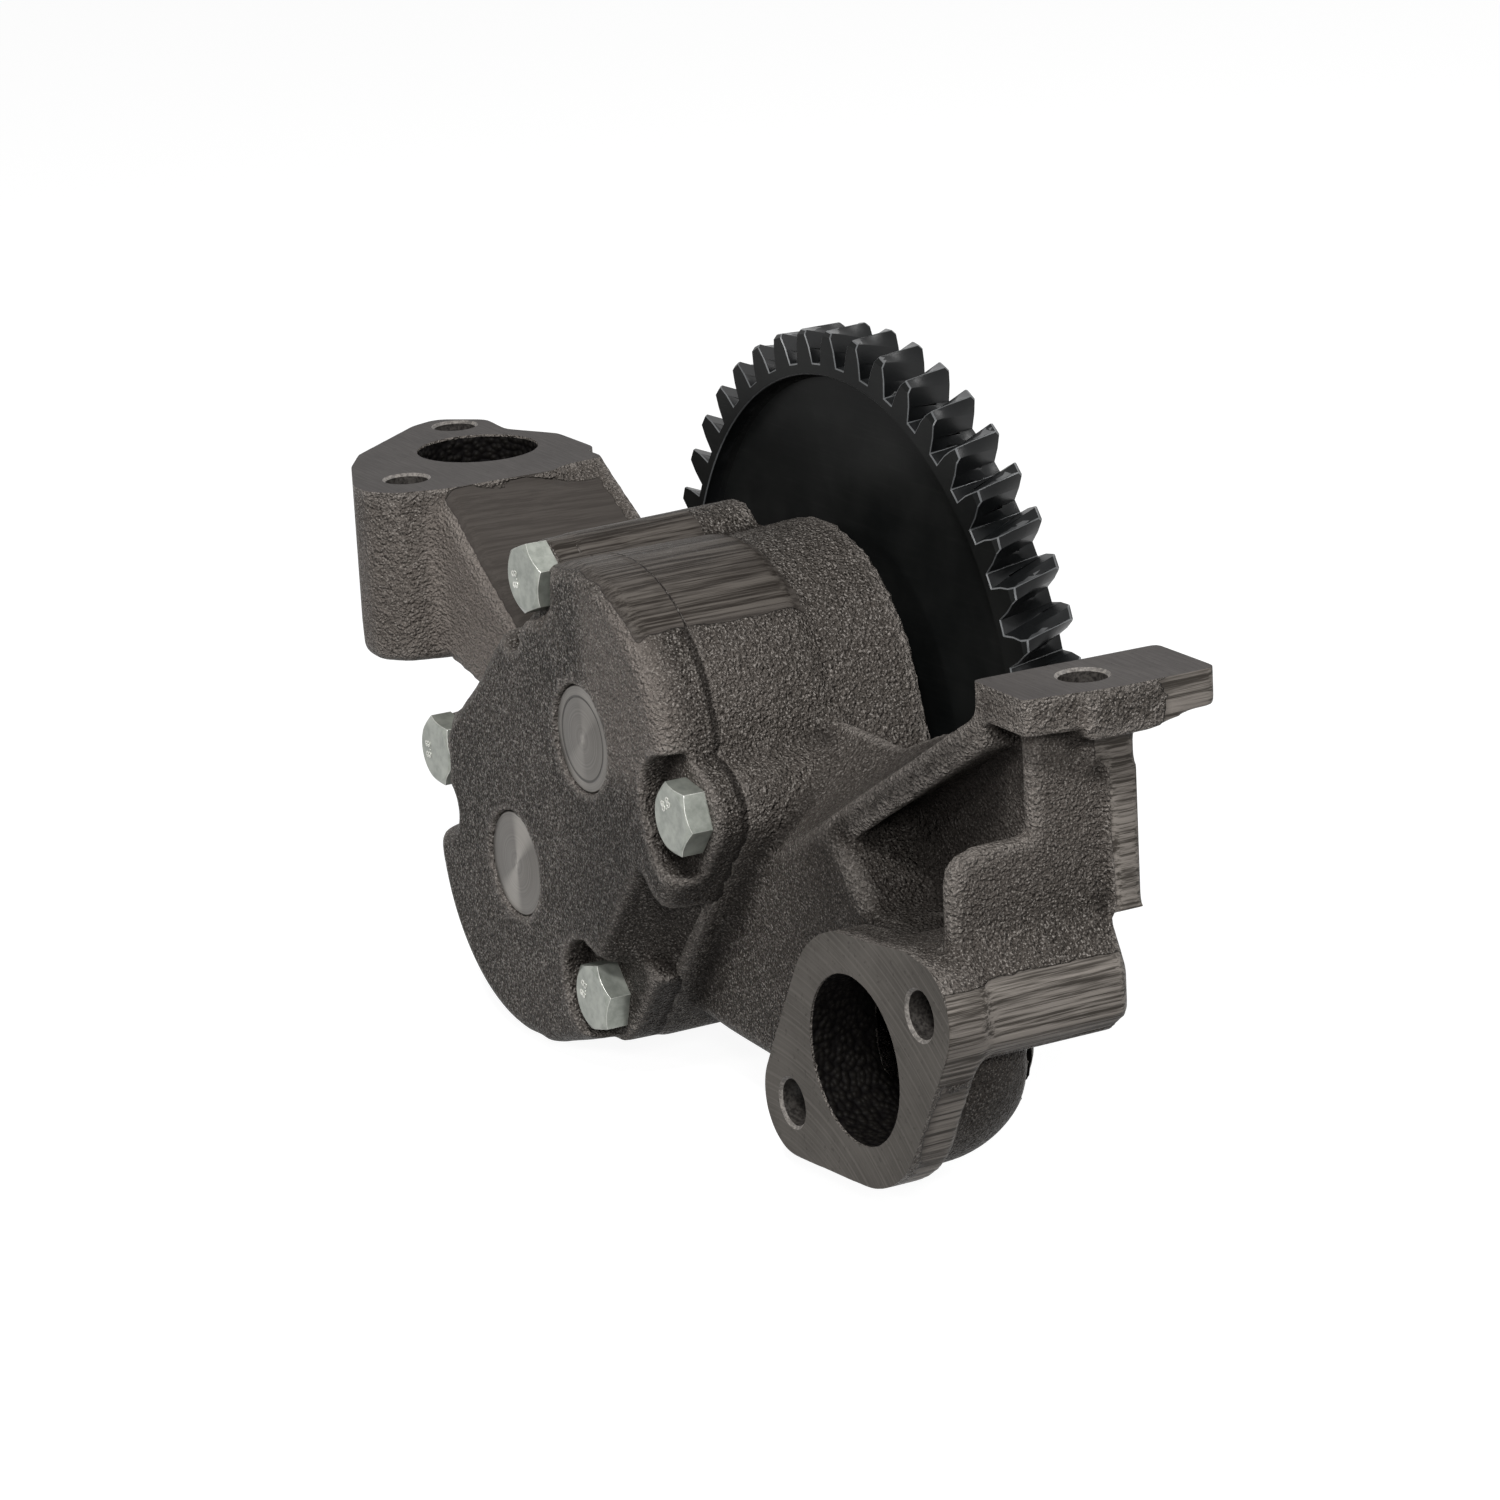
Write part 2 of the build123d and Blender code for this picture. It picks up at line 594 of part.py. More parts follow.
# Housing: all the cast shapes joined, then the bores and passages
with BuildPart() as housing:
    add(body.part)
    add(block.part)
    add(web.part)
    add(duct.part)
    add(elbow.part)
    add(flange.part)
    add(rail.part)
    add(wall.part)
    add(post.part)
    add(pad.part)
    add(arm.part)
    # Gear chamber
    with BuildSketch(facing(CHAMBER_Y)):
        Circle(CHAMBER_RADIUS)
        with Locations((IDLER_X, IDLER_Z)):
            Circle(CHAMBER_RADIUS)
    extrude(amount=CHAMBER_DEPTH + 5.0, mode=Mode.SUBTRACT)
    # Suction port, its pocket behind the flange and the duct to the gears
    with BuildSketch(facing(DUCT_REAR_Y - 5.0, SUCTION_X, SUCTION_Z)):
        Circle(SUCTION_RADIUS)
    extrude(amount=DUCT_REAR_Y, mode=Mode.SUBTRACT)
    with BuildSketch(facing(DUCT_Y + DUCT_WIDTH)):
        with BuildLine():
            Polyline(
                (SUCTION_X, SUCTION_Z + SUCTION_DUCT_HEIGHT / 2),
                (20.0, -28.5),
                (0.0, -24.0),
                (-8.0, -30.0),
                (-4.0, -42.0),
                (8.0, -50.0),
                (SUCTION_X, SUCTION_Z - SUCTION_DUCT_HEIGHT / 2),
                close=True,
            )
        make_face()
    extrude(amount=DUCT_WIDTH, mode=Mode.SUBTRACT)
    # Discharge port and the duct from the gears
    with BuildSketch(level(MOUNT_Z)):
        with Locations(PORT):
            Circle(PORT_RADIUS)
    extrude(amount=-PORT_DEPTH, mode=Mode.SUBTRACT)
    with BuildSketch(facing(DUCT_Y + DUCT_WIDTH)):
        with BuildLine():
            Polyline(
                (PORT[0], MOUNT_Z - PORT_DEPTH + DISCHARGE_DUCT_HEIGHT),
                (-102.0, MOUNT_Z - PORT_DEPTH + DISCHARGE_DUCT_HEIGHT),
                (-52.0, -3.4),
                (-37.0, 3.0),
                (-26.0, -4.0),
                (-38.0, -11.0),
                (-52.0, -3.4 - DISCHARGE_DUCT_HEIGHT),
                (-102.0, MOUNT_Z - PORT_DEPTH),
                (PORT[0], MOUNT_Z - PORT_DEPTH),
                close=True,
            )
        make_face()
    extrude(amount=DUCT_WIDTH, mode=Mode.SUBTRACT)
    # Relief valve bore, from under the block up to its seat, the hole in the seat and the outlet
    with BuildSketch(level(PLUG_Z)):
        with Locations(PORT):
            Circle(VALVE_RADIUS + VALVE_RUNNING)
    extrude(amount=SEAT_Z - PLUG_Z, mode=Mode.SUBTRACT)
    with BuildSketch(level(PLUG_Z)):
        with Locations(PORT):
            Circle(VALVE_SEAT_RADIUS)
    extrude(amount=MOUNT_Z - PORT_DEPTH - PLUG_Z + 1.0, mode=Mode.SUBTRACT)
    with BuildSketch(facing(PORT[1] + 30.0, PORT[0], SEAT_Z - 4.0)):
        Circle(VALVE_OUTLET)
    extrude(amount=30.0, mode=Mode.SUBTRACT)
    # Shaft bores with room for the bushes
    with BuildSketch(facing(BOSS_Y + 1.0)):
        with Locations((0, 0), (IDLER_X, IDLER_Z)):
            Circle(BUSH_RADIUS)
    extrude(amount=BOSS_Y + 2.0 - CHAMBER_Y, mode=Mode.SUBTRACT)
    # Threaded holes for the cover bolts, and the dowel holes
    with BuildSketch(facing(BOLT_SEAT + BOLT_GRIP + 2.0)):
        with Locations(*ALL_BOLTS):
            Circle(BOLT_RADIUS + FIT_GAP)
    extrude(amount=BOLT_GRIP, mode=Mode.SUBTRACT)
    with BuildSketch(facing(JOINT_Y + DOWEL_LENGTH / 2 + 0.3)):
        with Locations(*ALL_DOWELS):
            Circle(DOWEL_RADIUS + FIT_GAP)
    extrude(amount=DOWEL_LENGTH, mode=Mode.SUBTRACT)
    # Holes for the fixing bolts
    with BuildSketch(level(MOUNT_Z + 1.0)):
        with Locations(HOLE_A, HOLE_B):
            Circle(FLANGE_HOLE)
    extrude(amount=-BLOCK_HEIGHT - 2.0, mode=Mode.SUBTRACT)
    with BuildSketch(level(MOUNT_Z + 1.0)):
        with Locations(PAD_HOLE):
            Circle(FLANGE_HOLE)
    extrude(amount=-14.0, mode=Mode.SUBTRACT)
    with BuildSketch(facing(24.0, SUCTION_X, SUCTION_Z)):
        with Locations((SUCTION_HALF_X, SUCTION_HALF_Z), (-SUCTION_HALF_X, -SUCTION_HALF_Z)):
            Circle(SUCTION_HOLE)
    extrude(amount=24.0, mode=Mode.SUBTRACT)

# Drive shaft, with its keyways, gear seat and thread
with BuildPart() as drive_shaft:
    with BuildSketch(facing(HUB_END_Y - 0.3)):
        Circle(SHAFT_RADIUS)
    extrude(amount=HUB_END_Y - 0.3 - SHAFT_RECESS)
    fillet(drive_shaft.edges().filter_by(GeomType.CIRCLE).sort_by(Axis.Y)[0], 0.6)
    with BuildSketch(facing(THREAD_END_Y)):
        Circle(THREAD_RADIUS)
    extrude(amount=THREAD_END_Y - HUB_END_Y + 1.0)
    chamfer(drive_shaft.edges().filter_by(GeomType.CIRCLE).sort_by(Axis.Y)[-1], 1.2)
    with BuildSketch(level(SHAFT_RADIUS - KEY_HEIGHT / 2, y=GEAR_Y + GEAR_WIDTH / 2)):
        Rectangle(KEY_WIDTH + 2 * FIT_GAP, GEAR_WIDTH + 2 * FIT_GAP)
    extrude(amount=KEY_HEIGHT, mode=Mode.SUBTRACT)
    with BuildSketch(level(SHAFT_RADIUS - PUMP_KEY / 2, y=(JOINT_Y + CHAMBER_Y) / 2)):
        Rectangle(PUMP_KEY + 2 * FIT_GAP, PUMP_KEY_LENGTH + 2 * FIT_GAP)
    extrude(amount=PUMP_KEY, mode=Mode.SUBTRACT)

# Idler shaft
with BuildPart() as idler_shaft:
    with BuildSketch(facing(BOSS_Y - IDLER_BOSS_Y_BACK - 0.5, IDLER_X, IDLER_Z)):
        Circle(SHAFT_RADIUS)
    extrude(amount=BOSS_Y - IDLER_BOSS_Y_BACK - 0.5 - SHAFT_RECESS)
    fillet(idler_shaft.edges().filter_by(GeomType.CIRCLE), 0.5)

# Pump gear on the drive shaft, with its keyway
with BuildPart() as pump_gear_driving:
    with BuildSketch(facing(CHAMBER_Y - END_PLAY)):
        with BuildLine():
            Polyline(*pump_gear_points(CENTRE_ANGLE), close=True)
        make_face()
        Circle(SHAFT_RADIUS + FIT_GAP, mode=Mode.SUBTRACT)
        with Locations((0, SHAFT_RADIUS)):
            Rectangle(PUMP_KEY + 2 * FIT_GAP, PUMP_KEY + 0.3, mode=Mode.SUBTRACT)
    extrude(amount=CHAMBER_DEPTH - 2 * END_PLAY)

# Pump gear pressed on the idler shaft, half a tooth round so that it meshes
with BuildPart() as pump_gear_driven:
    with BuildSketch(facing(CHAMBER_Y - END_PLAY, IDLER_X, IDLER_Z)):
        with BuildLine():
            Polyline(*pump_gear_points(CENTRE_ANGLE + 180 + 180 / PUMP_TEETH), close=True)
        make_face()
        Circle(SHAFT_RADIUS + FIT_GAP, mode=Mode.SUBTRACT)
    extrude(amount=CHAMBER_DEPTH - 2 * END_PLAY)

# Keys
with BuildPart() as pump_gear_key:
    with BuildSketch(level(SHAFT_RADIUS - PUMP_KEY / 2 + FIT_GAP, y=(JOINT_Y + CHAMBER_Y) / 2)):
        Rectangle(PUMP_KEY, PUMP_KEY_LENGTH)
    extrude(amount=PUMP_KEY)
    fillet(pump_gear_key.edges().filter_by(Axis.Y), 0.3)

with BuildPart() as drive_gear_key:
    with BuildSketch(level(SHAFT_RADIUS - KEY_HEIGHT / 2 + FIT_GAP, y=GEAR_Y + GEAR_WIDTH / 2)):
        Rectangle(KEY_WIDTH, GEAR_WIDTH)
    extrude(amount=KEY_HEIGHT)
    fillet(drive_gear_key.edges().filter_by(Axis.Y), 0.3)


def helical_section(y):
    # Outline of the drive gear's teeth at one depth, turned along the helix
    pressure = radians(20.0)
    pitch = (GEAR_TIP + GEAR_ROOT) / 2 + 0.4
    base = pitch * cos(pressure)
    turn = radians(GEAR_TURN) + (y - GEAR_Y) * tan(radians(GEAR_HELIX)) / pitch
    points = []
    for tooth in range(GEAR_TEETH):
        middle = turn + tooth * 2 * pi / GEAR_TEETH
        flank = []
        for share in (0.0, 0.5, 1.0):
            radius = GEAR_ROOT + (GEAR_TIP - GEAR_ROOT) * share
            half = pi / (2 * GEAR_TEETH) + involute(pressure) - involute(acos(min(1.0, base / radius)))
            flank.append((radius, half * 0.97))
        for radius, half in flank:
            points.append((radius * cos(middle - half), radius * sin(middle - half)))
        for radius, half in reversed(flank):
            points.append((radius * cos(middle + half), radius * sin(middle + half)))
    with BuildSketch(facing(y)) as section:
        with BuildLine():
            Polyline(*points, close=True)
        make_face()
    return section.sketch


# Drive gear: helical teeth cut to a turned blank with a set-back web and a hub
WEB_Y = GEAR_Y + WEB_SET_BACK
with BuildPart() as drive_gear:
    add(helical_section(GEAR_BACK_Y))
    add(helical_section(GEAR_Y))
    loft(ruled=True)
    with BuildSketch(Plane(origin=(DRIVE_X, COVER_Y, DRIVE_Z))):
        with BuildLine():
            Polyline(
                (0, WEB_Y),
                (RIM_INNER - 1.0, WEB_Y),
                (RIM_INNER, WEB_Y - 1.0),
                (RIM_INNER, GEAR_Y),
                (GEAR_TIP - GEAR_CHAMFER, GEAR_Y),
                (GEAR_TIP, GEAR_Y + GEAR_CHAMFER),
                (GEAR_TIP, GEAR_BACK_Y - GEAR_CHAMFER),
                (GEAR_TIP - GEAR_CHAMFER, GEAR_BACK_Y),
                (RIM_INNER - 1.5, GEAR_BACK_Y),
                (RIM_INNER - 2.5, WEB_Y + WEB_THICK),
                (0, WEB_Y + WEB_THICK),
                close=True,
            )
        make_face()
    revolve(axis=Axis((DRIVE_X, COVER_Y, DRIVE_Z), (0, 1, 0)), mode=Mode.INTERSECT)
    with BuildSketch(facing(HUB_END_Y)):
        Circle(HUB_RADIUS)
    extrude(amount=HUB_END_Y - BOSS_Y - HUB_RUNNING)
    with BuildSketch(facing(HUB_END_Y + 1.0)):
        Circle(SHAFT_RADIUS + FIT_GAP)
        with Locations((0, SHAFT_RADIUS)):
            Rectangle(KEY_WIDTH + 2 * FIT_GAP, KEY_HEIGHT + 0.3)
    extrude(amount=HUB_END_Y + 2.0 - BOSS_Y, mode=Mode.SUBTRACT)

# Washer and nut behind the drive gear
with BuildPart() as gear_washer:
    with BuildSketch(facing(HUB_END_Y + WASHER_THICK)):
        Circle(WASHER_RADIUS)
        Circle(THREAD_RADIUS + 0.3, mode=Mode.SUBTRACT)
    extrude(amount=WASHER_THICK)

with BuildPart() as gear_nut:
    with BuildSketch(facing(HUB_END_Y + WASHER_THICK + NUT_HEIGHT)):
        RegularPolygon(NUT_ACROSS_FLATS / 2, 6, major_radius=False)
        Circle(THREAD_RADIUS + FIT_GAP, mode=Mode.SUBTRACT)
    extrude(amount=NUT_HEIGHT)

# Bushes in the body
with BuildPart() as drive_bush:
    with BuildSketch(facing(BOSS_Y)):
        Circle(BUSH_RADIUS - FIT_GAP)
        Circle(SHAFT_RADIUS + SHAFT_RUNNING, mode=Mode.SUBTRACT)
    extrude(amount=BOSS_Y - CHAMBER_Y)

with BuildPart() as idler_bush:
    with BuildSketch(facing(BOSS_Y - IDLER_BOSS_Y_BACK, IDLER_X, IDLER_Z)):
        Circle(BUSH_RADIUS - FIT_GAP)
        Circle(SHAFT_RADIUS + SHAFT_RUNNING, mode=Mode.SUBTRACT)
    extrude(amount=BOSS_Y - IDLER_BOSS_Y_BACK - CHAMBER_Y)


def cover_bolt(place, turn):
    # Hexagon-headed bolt with a plain shank, seated in the cover
    with BuildPart() as bolt:
        with BuildSketch(facing(BOLT_SEAT, *place)):
            RegularPolygon(BOLT_ACROSS_FLATS / 2, 6, major_radius=False, rotation=turn)
        extrude(amount=BOLT_HEAD)
        with BuildSketch(Plane(origin=(DRIVE_X + place[0], COVER_Y, DRIVE_Z + place[1]))):
            with BuildLine():
                Polyline(
                    (0, BOLT_SEAT + 0.5),
                    (BOLT_ACROSS_FLATS, BOLT_SEAT + 0.5),
                    (BOLT_ACROSS_FLATS, BOLT_SEAT - BOLT_HEAD + 3.9),
                    (BOLT_ACROSS_FLATS / 2 - 0.3, BOLT_SEAT - BOLT_HEAD),
                    (0, BOLT_SEAT - BOLT_HEAD),
                    close=True,
                )
            make_face()
        revolve(axis=Axis((DRIVE_X + place[0], COVER_Y, DRIVE_Z + place[1]), (0, 1, 0)), mode=Mode.INTERSECT)
        with BuildSketch(facing(BOLT_SEAT + BOLT_GRIP, *place)):
            Circle(BOLT_RADIUS)
        extrude(amount=BOLT_GRIP)
    return bolt


def dowel(place):
    # Plain dowel pin half in the cover and half in the body
    with BuildPart() as pin:
        with BuildSketch(facing(JOINT_Y + DOWEL_LENGTH / 2, *place)):
            Circle(DOWEL_RADIUS)
        extrude(amount=DOWEL_LENGTH)
        chamfer(pin.edges().filter_by(GeomType.CIRCLE), 0.5)
    return pin


# Relief valve: piston, spring and plug
PISTON_BOTTOM = SEAT_Z - 0.05 - VALVE_LENGTH
PLUG_TOP = PLUG_Z + PLUG_LENGTH
SPRING_BOTTOM = PLUG_TOP + SPRING_WIRE + 0.02
SPRING_LENGTH = PISTON_BOTTOM - PLUG_TOP - 2 * SPRING_WIRE - 0.04
with BuildPart() as relief_piston:
    with BuildSketch(level(PISTON_BOTTOM)):
        with Locations(PORT):
            Circle(VALVE_RADIUS)
    extrude(amount=VALVE_LENGTH)
    chamfer(relief_piston.edges().filter_by(GeomType.CIRCLE).sort_by(Axis.Z)[-1], 0.5)
    with BuildSketch(level(PISTON_BOTTOM)):
        with Locations(PORT):
            Circle(3.2)
    extrude(amount=4.0, mode=Mode.SUBTRACT)

with BuildPart() as relief_plug:
    with BuildSketch(level(PLUG_Z)):
        with Locations(PORT):
            Circle(VALVE_RADIUS + VALVE_RUNNING - FIT_GAP)
    extrude(amount=PLUG_LENGTH)
    with BuildSketch(level(PLUG_Z)):
        with Locations(PORT):
            RegularPolygon(PLUG_SOCKET / 2, 6, major_radius=False)
    extrude(amount=PLUG_LENGTH * 0.6, mode=Mode.SUBTRACT)

with BuildPart() as relief_spring:
    with BuildLine(level(SPRING_BOTTOM, *PORT)):
        Helix(pitch=SPRING_LENGTH / SPRING_TURNS, height=SPRING_LENGTH, radius=SPRING_RADIUS)
    with BuildSketch(
        Plane(
            origin=(DRIVE_X + PORT[0] + SPRING_RADIUS, COVER_Y + PORT[1], DRIVE_Z + SPRING_BOTTOM),
            x_dir=(1, 0, 0),
            z_dir=(0, 1, 0),
        )
    ):
        Circle(SPRING_WIRE)
    sweep()

# Label every piece and write it out
PIECES = {
    "pump_housing": housing,
    "pump_cover": cover,
    "drive_shaft": drive_shaft,
    "idler_shaft": idler_shaft,
    "pump_gear_driving": pump_gear_driving,
    "pump_gear_driven": pump_gear_driven,
    "pump_gear_key": pump_gear_key,
    "drive_gear": drive_gear,
    "drive_gear_key": drive_gear_key,
    "gear_washer": gear_washer,
    "gear_nut": gear_nut,
    "drive_bush": drive_bush,
    "idler_bush": idler_bush,
    "cover_bolt_1": cover_bolt(BOLT_1, 21.0),
    "cover_bolt_2": cover_bolt(BOLT_2, 48.0),
    "cover_bolt_3": cover_bolt(BOLT_3, 51.0),
    "cover_bolt_4": cover_bolt(BOLT_4, 13.0),
    "dowel_pin_1": dowel(DOWEL_1),
    "dowel_pin_2": dowel(DOWEL_2),
    "relief_piston": relief_piston,
    "relief_spring": relief_spring,
    "relief_plug": relief_plug,
}
for name, piece in PIECES.items():
    piece.part.label = name
    export_step(piece.part, "parts/" + name + ".step")
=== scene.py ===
# %% [markdown]
# # Engine oil pump
# A gear pump has a cast iron housing, a cover held by four bolts and a large
# drive gear behind. The exact shapes come from the CAD frame. This lesson
# turns them into castings, machined faces, plated bolts and a black gear.

# %% Load the frame
import bpy
import numpy as np
from math import radians, sin, cos, pi
from mathutils import Matrix, Vector


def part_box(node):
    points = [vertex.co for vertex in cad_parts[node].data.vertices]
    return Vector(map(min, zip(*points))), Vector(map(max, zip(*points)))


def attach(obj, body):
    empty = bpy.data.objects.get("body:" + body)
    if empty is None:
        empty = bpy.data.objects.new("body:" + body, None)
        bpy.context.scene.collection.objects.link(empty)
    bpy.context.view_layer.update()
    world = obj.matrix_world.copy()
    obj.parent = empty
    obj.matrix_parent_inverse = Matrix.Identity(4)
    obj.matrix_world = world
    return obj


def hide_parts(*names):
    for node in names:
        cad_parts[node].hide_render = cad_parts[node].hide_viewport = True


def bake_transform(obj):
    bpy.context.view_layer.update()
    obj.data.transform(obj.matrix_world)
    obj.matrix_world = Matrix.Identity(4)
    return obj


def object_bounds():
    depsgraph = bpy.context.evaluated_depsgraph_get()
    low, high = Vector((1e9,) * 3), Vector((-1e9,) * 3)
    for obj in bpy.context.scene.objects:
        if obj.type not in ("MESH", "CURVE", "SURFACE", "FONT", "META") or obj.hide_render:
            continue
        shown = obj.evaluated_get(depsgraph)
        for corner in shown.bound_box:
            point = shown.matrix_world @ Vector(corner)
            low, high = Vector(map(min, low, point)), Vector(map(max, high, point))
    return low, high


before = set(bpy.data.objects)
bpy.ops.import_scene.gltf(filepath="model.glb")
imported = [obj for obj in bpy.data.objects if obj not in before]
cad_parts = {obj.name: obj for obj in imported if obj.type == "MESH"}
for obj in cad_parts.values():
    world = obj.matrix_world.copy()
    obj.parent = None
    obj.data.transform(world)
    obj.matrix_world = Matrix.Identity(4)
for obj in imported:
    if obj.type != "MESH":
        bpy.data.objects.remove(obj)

first_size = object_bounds()
print("Pieces in the frame:", len(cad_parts))

# %% [markdown]
# Everything is placed in millimetres from one handy point: the drive shaft's
# axis on the front of the cover. X runs to the suction side, Y along the
# shafts to the gear and Z up.

# %% Places in millimetres
MM = 0.001
DRIVE = Vector((0.125, -0.042, -0.030))
UP = Vector((0, 0, 1))
FRONT = Vector((0, -1, 0))


def at(x, y, z):
    return Vector((x, y, z)) * MM + DRIVE


IDLER = at(-33.244, 0, -34.067)
MOUNT_Z = 30
SUCTION_Y = 7
JOINT_Y = 13
DISCHARGE = at(-125, 42, MOUNT_Z)
SUCTION = at(91.5, SUCTION_Y, -42.4)
print("Drive shaft axis in metres:", tuple(round(v, 4) for v in DRIVE))

# %% [markdown]
# The camera stands about a metre away with a long lens, so that parallel
# edges stay nearly parallel. Its turn is built from three directions: right,
# up and backwards. A small roll tilts the picture as a hand-held camera does.

# %% Camera
AZIMUTH = radians(61.56)
ELEVATION = radians(16.30)
ROLL = radians(-3.01)
EYE = Vector((1.0363, -0.4975, 0.2638))
back = Vector((sin(AZIMUTH) * cos(ELEVATION), -cos(AZIMUTH) * cos(ELEVATION), sin(ELEVATION)))
right = Vector((cos(AZIMUTH), sin(AZIMUTH), 0))
up = back.cross(right)
tilted_right = cos(ROLL) * right + sin(ROLL) * up
tilted_up = cos(ROLL) * up - sin(ROLL) * right
bpy.ops.object.camera_add(location=EYE)
camera = bpy.context.active_object
camera.name = "camera"
turn = Matrix((tilted_right, tilted_up, back)).transposed()
camera.matrix_world = Matrix.Translation(EYE) @ turn.to_4x4()
camera.data.sensor_width = 36
camera.data.lens = 129.05
camera.data.clip_start = 0.01
camera.data.clip_end = 20
bpy.context.scene.camera = camera
bpy.context.scene.view_settings.view_transform = "Standard"
print("Lens in mm:", camera.data.lens)

# %% [markdown]
# A shader is a chain of nodes. Writing the chain as plain sums keeps it
# short: this small class wraps one output of a node, so that `a * 2 + b`
# adds the Math nodes by itself.

# %% Shader maths as plain sums
class Value:
    def __init__(self, tree, output):
        self.tree = tree
        self.output = output

    def maths(self, operation, *parts):
        return self.tree.node("ShaderNodeMath", {"operation": operation}, dict(enumerate(parts)))

    def __add__(self, other):
        return self.maths("ADD", self, other)

    def __radd__(self, other):
        return self.maths("ADD", other, self)

    def __sub__(self, other):
        return self.maths("SUBTRACT", self, other)

    def __rsub__(self, other):
        return self.maths("SUBTRACT", other, self)

    def __mul__(self, other):
        return self.maths("MULTIPLY", self, other)

    def __pow__(self, other):
        return self.maths("POWER", self, other)

    def __abs__(self):
        return self.maths("ABSOLUTE", self)

    def ramp(self, low, high):
        # 0 below low, 1 above high, smooth between; high may be the smaller
        settings = {"interpolation_type": "SMOOTHSTEP"}
        if low < high:
            return self.tree.node("ShaderNodeMapRange", settings, {"Value": self, 1: low, 2: high})
        return 1.0 - self.ramp(high, low)


# %% [markdown]
# A finish is one material. It offers the few patterns that every surface
# here is made of: position, noise, cells, rings, a mix of two colours and
# bumps.

# %% One material and its patterns
class Finish:
    def __init__(self, name, **fixed):
        self.material = bpy.data.materials.new(name)
        self.material.use_nodes = True
        self.nodes = self.material.node_tree.nodes
        self.links = self.material.node_tree.links
        self.surface = self.nodes["Principled BSDF"]
        for socket, value in fixed.items():
            self.surface.inputs[socket.replace("_", " ")].default_value = value
        self.place = self.node("ShaderNodeTexCoord", {}, {}, "Object")

    def node(self, kind, settings, inputs, output=0):
        made = self.nodes.new(kind)
        for setting, value in settings.items():
            setattr(made, setting, value)
        for socket, value in inputs.items():
            if isinstance(value, Value):
                self.links.new(value.output, made.inputs[socket])
            else:
                made.inputs[socket].default_value = value
        return Value(self, made.outputs[output])

    def stretched(self, scale, turn=(0, 0, 0), centre=(0, 0, 0)):
        # Position moved to a centre, turned and scaled by axis
        parts = {0: self.place, 1: centre}
        moved = self.node("ShaderNodeVectorMath", {"operation": "SUBTRACT"}, parts)
        turned = {"Vector": moved, "Rotation": turn, "Scale": scale}
        return self.node("ShaderNodeMapping", {}, turned)

    def painted(self, name):
        # A number painted on the points of the mesh
        return self.node("ShaderNodeAttribute", {"attribute_name": name}, {}, "Fac")

    def about(self, centre):
        # X, Z and the distance from a line along Y through a centre
        moved = self.stretched((1, 1, 1), centre=centre)
        split = self.node("ShaderNodeSeparateXYZ", {}, {0: moved})
        x, _, z = (Value(self, out) for out in split.output.node.outputs)
        return x, z, (x * x + z * z) ** 0.5

    def noise(self, scale, detail=2.0, roughness=0.5, place=None):
        inputs = {"Vector": place or self.place, "Scale": scale,
                  "Detail": detail, "Roughness": roughness}
        return self.node("ShaderNodeTexNoise", {}, inputs)

    def rings(self, radius, scale, detail=2.0):
        # Noise that only changes with a radius
        inputs = {"W": radius, "Scale": scale, "Detail": detail}
        return self.node("ShaderNodeTexNoise", {"noise_dimensions": "1D"}, inputs)

    def cells(self, scale, smooth):
        inputs = {"Vector": self.place, "Scale": scale, "Smoothness": smooth}
        return self.node("ShaderNodeTexVoronoi", {"feature": "SMOOTH_F1"}, inputs)

    def mix(self, factor, first, second):
        # Blend two colours, each a tuple or a socket
        inputs = {0: factor}
        for socket, colour in ((6, first), (7, second)):
            inputs[socket] = colour if isinstance(colour, Value) else (*colour, 1.0)
        settings = {"data_type": "RGBA", "clamp_factor": True}
        return self.node("ShaderNodeMix", settings, inputs, 2)

    def bump(self, height, distance):
        return self.node("ShaderNodeBump", {}, {"Height": height, "Distance": distance * MM})

    def wear(self, **sockets):
        # Join varying values to the surface
        for socket, value in sockets.items():
            self.links.new(value.output, self.surface.inputs[socket.replace("_", " ")])
        return self.material


print("Patterns ready:", ", ".join(n for n in vars(Finish) if not n.startswith("_")))
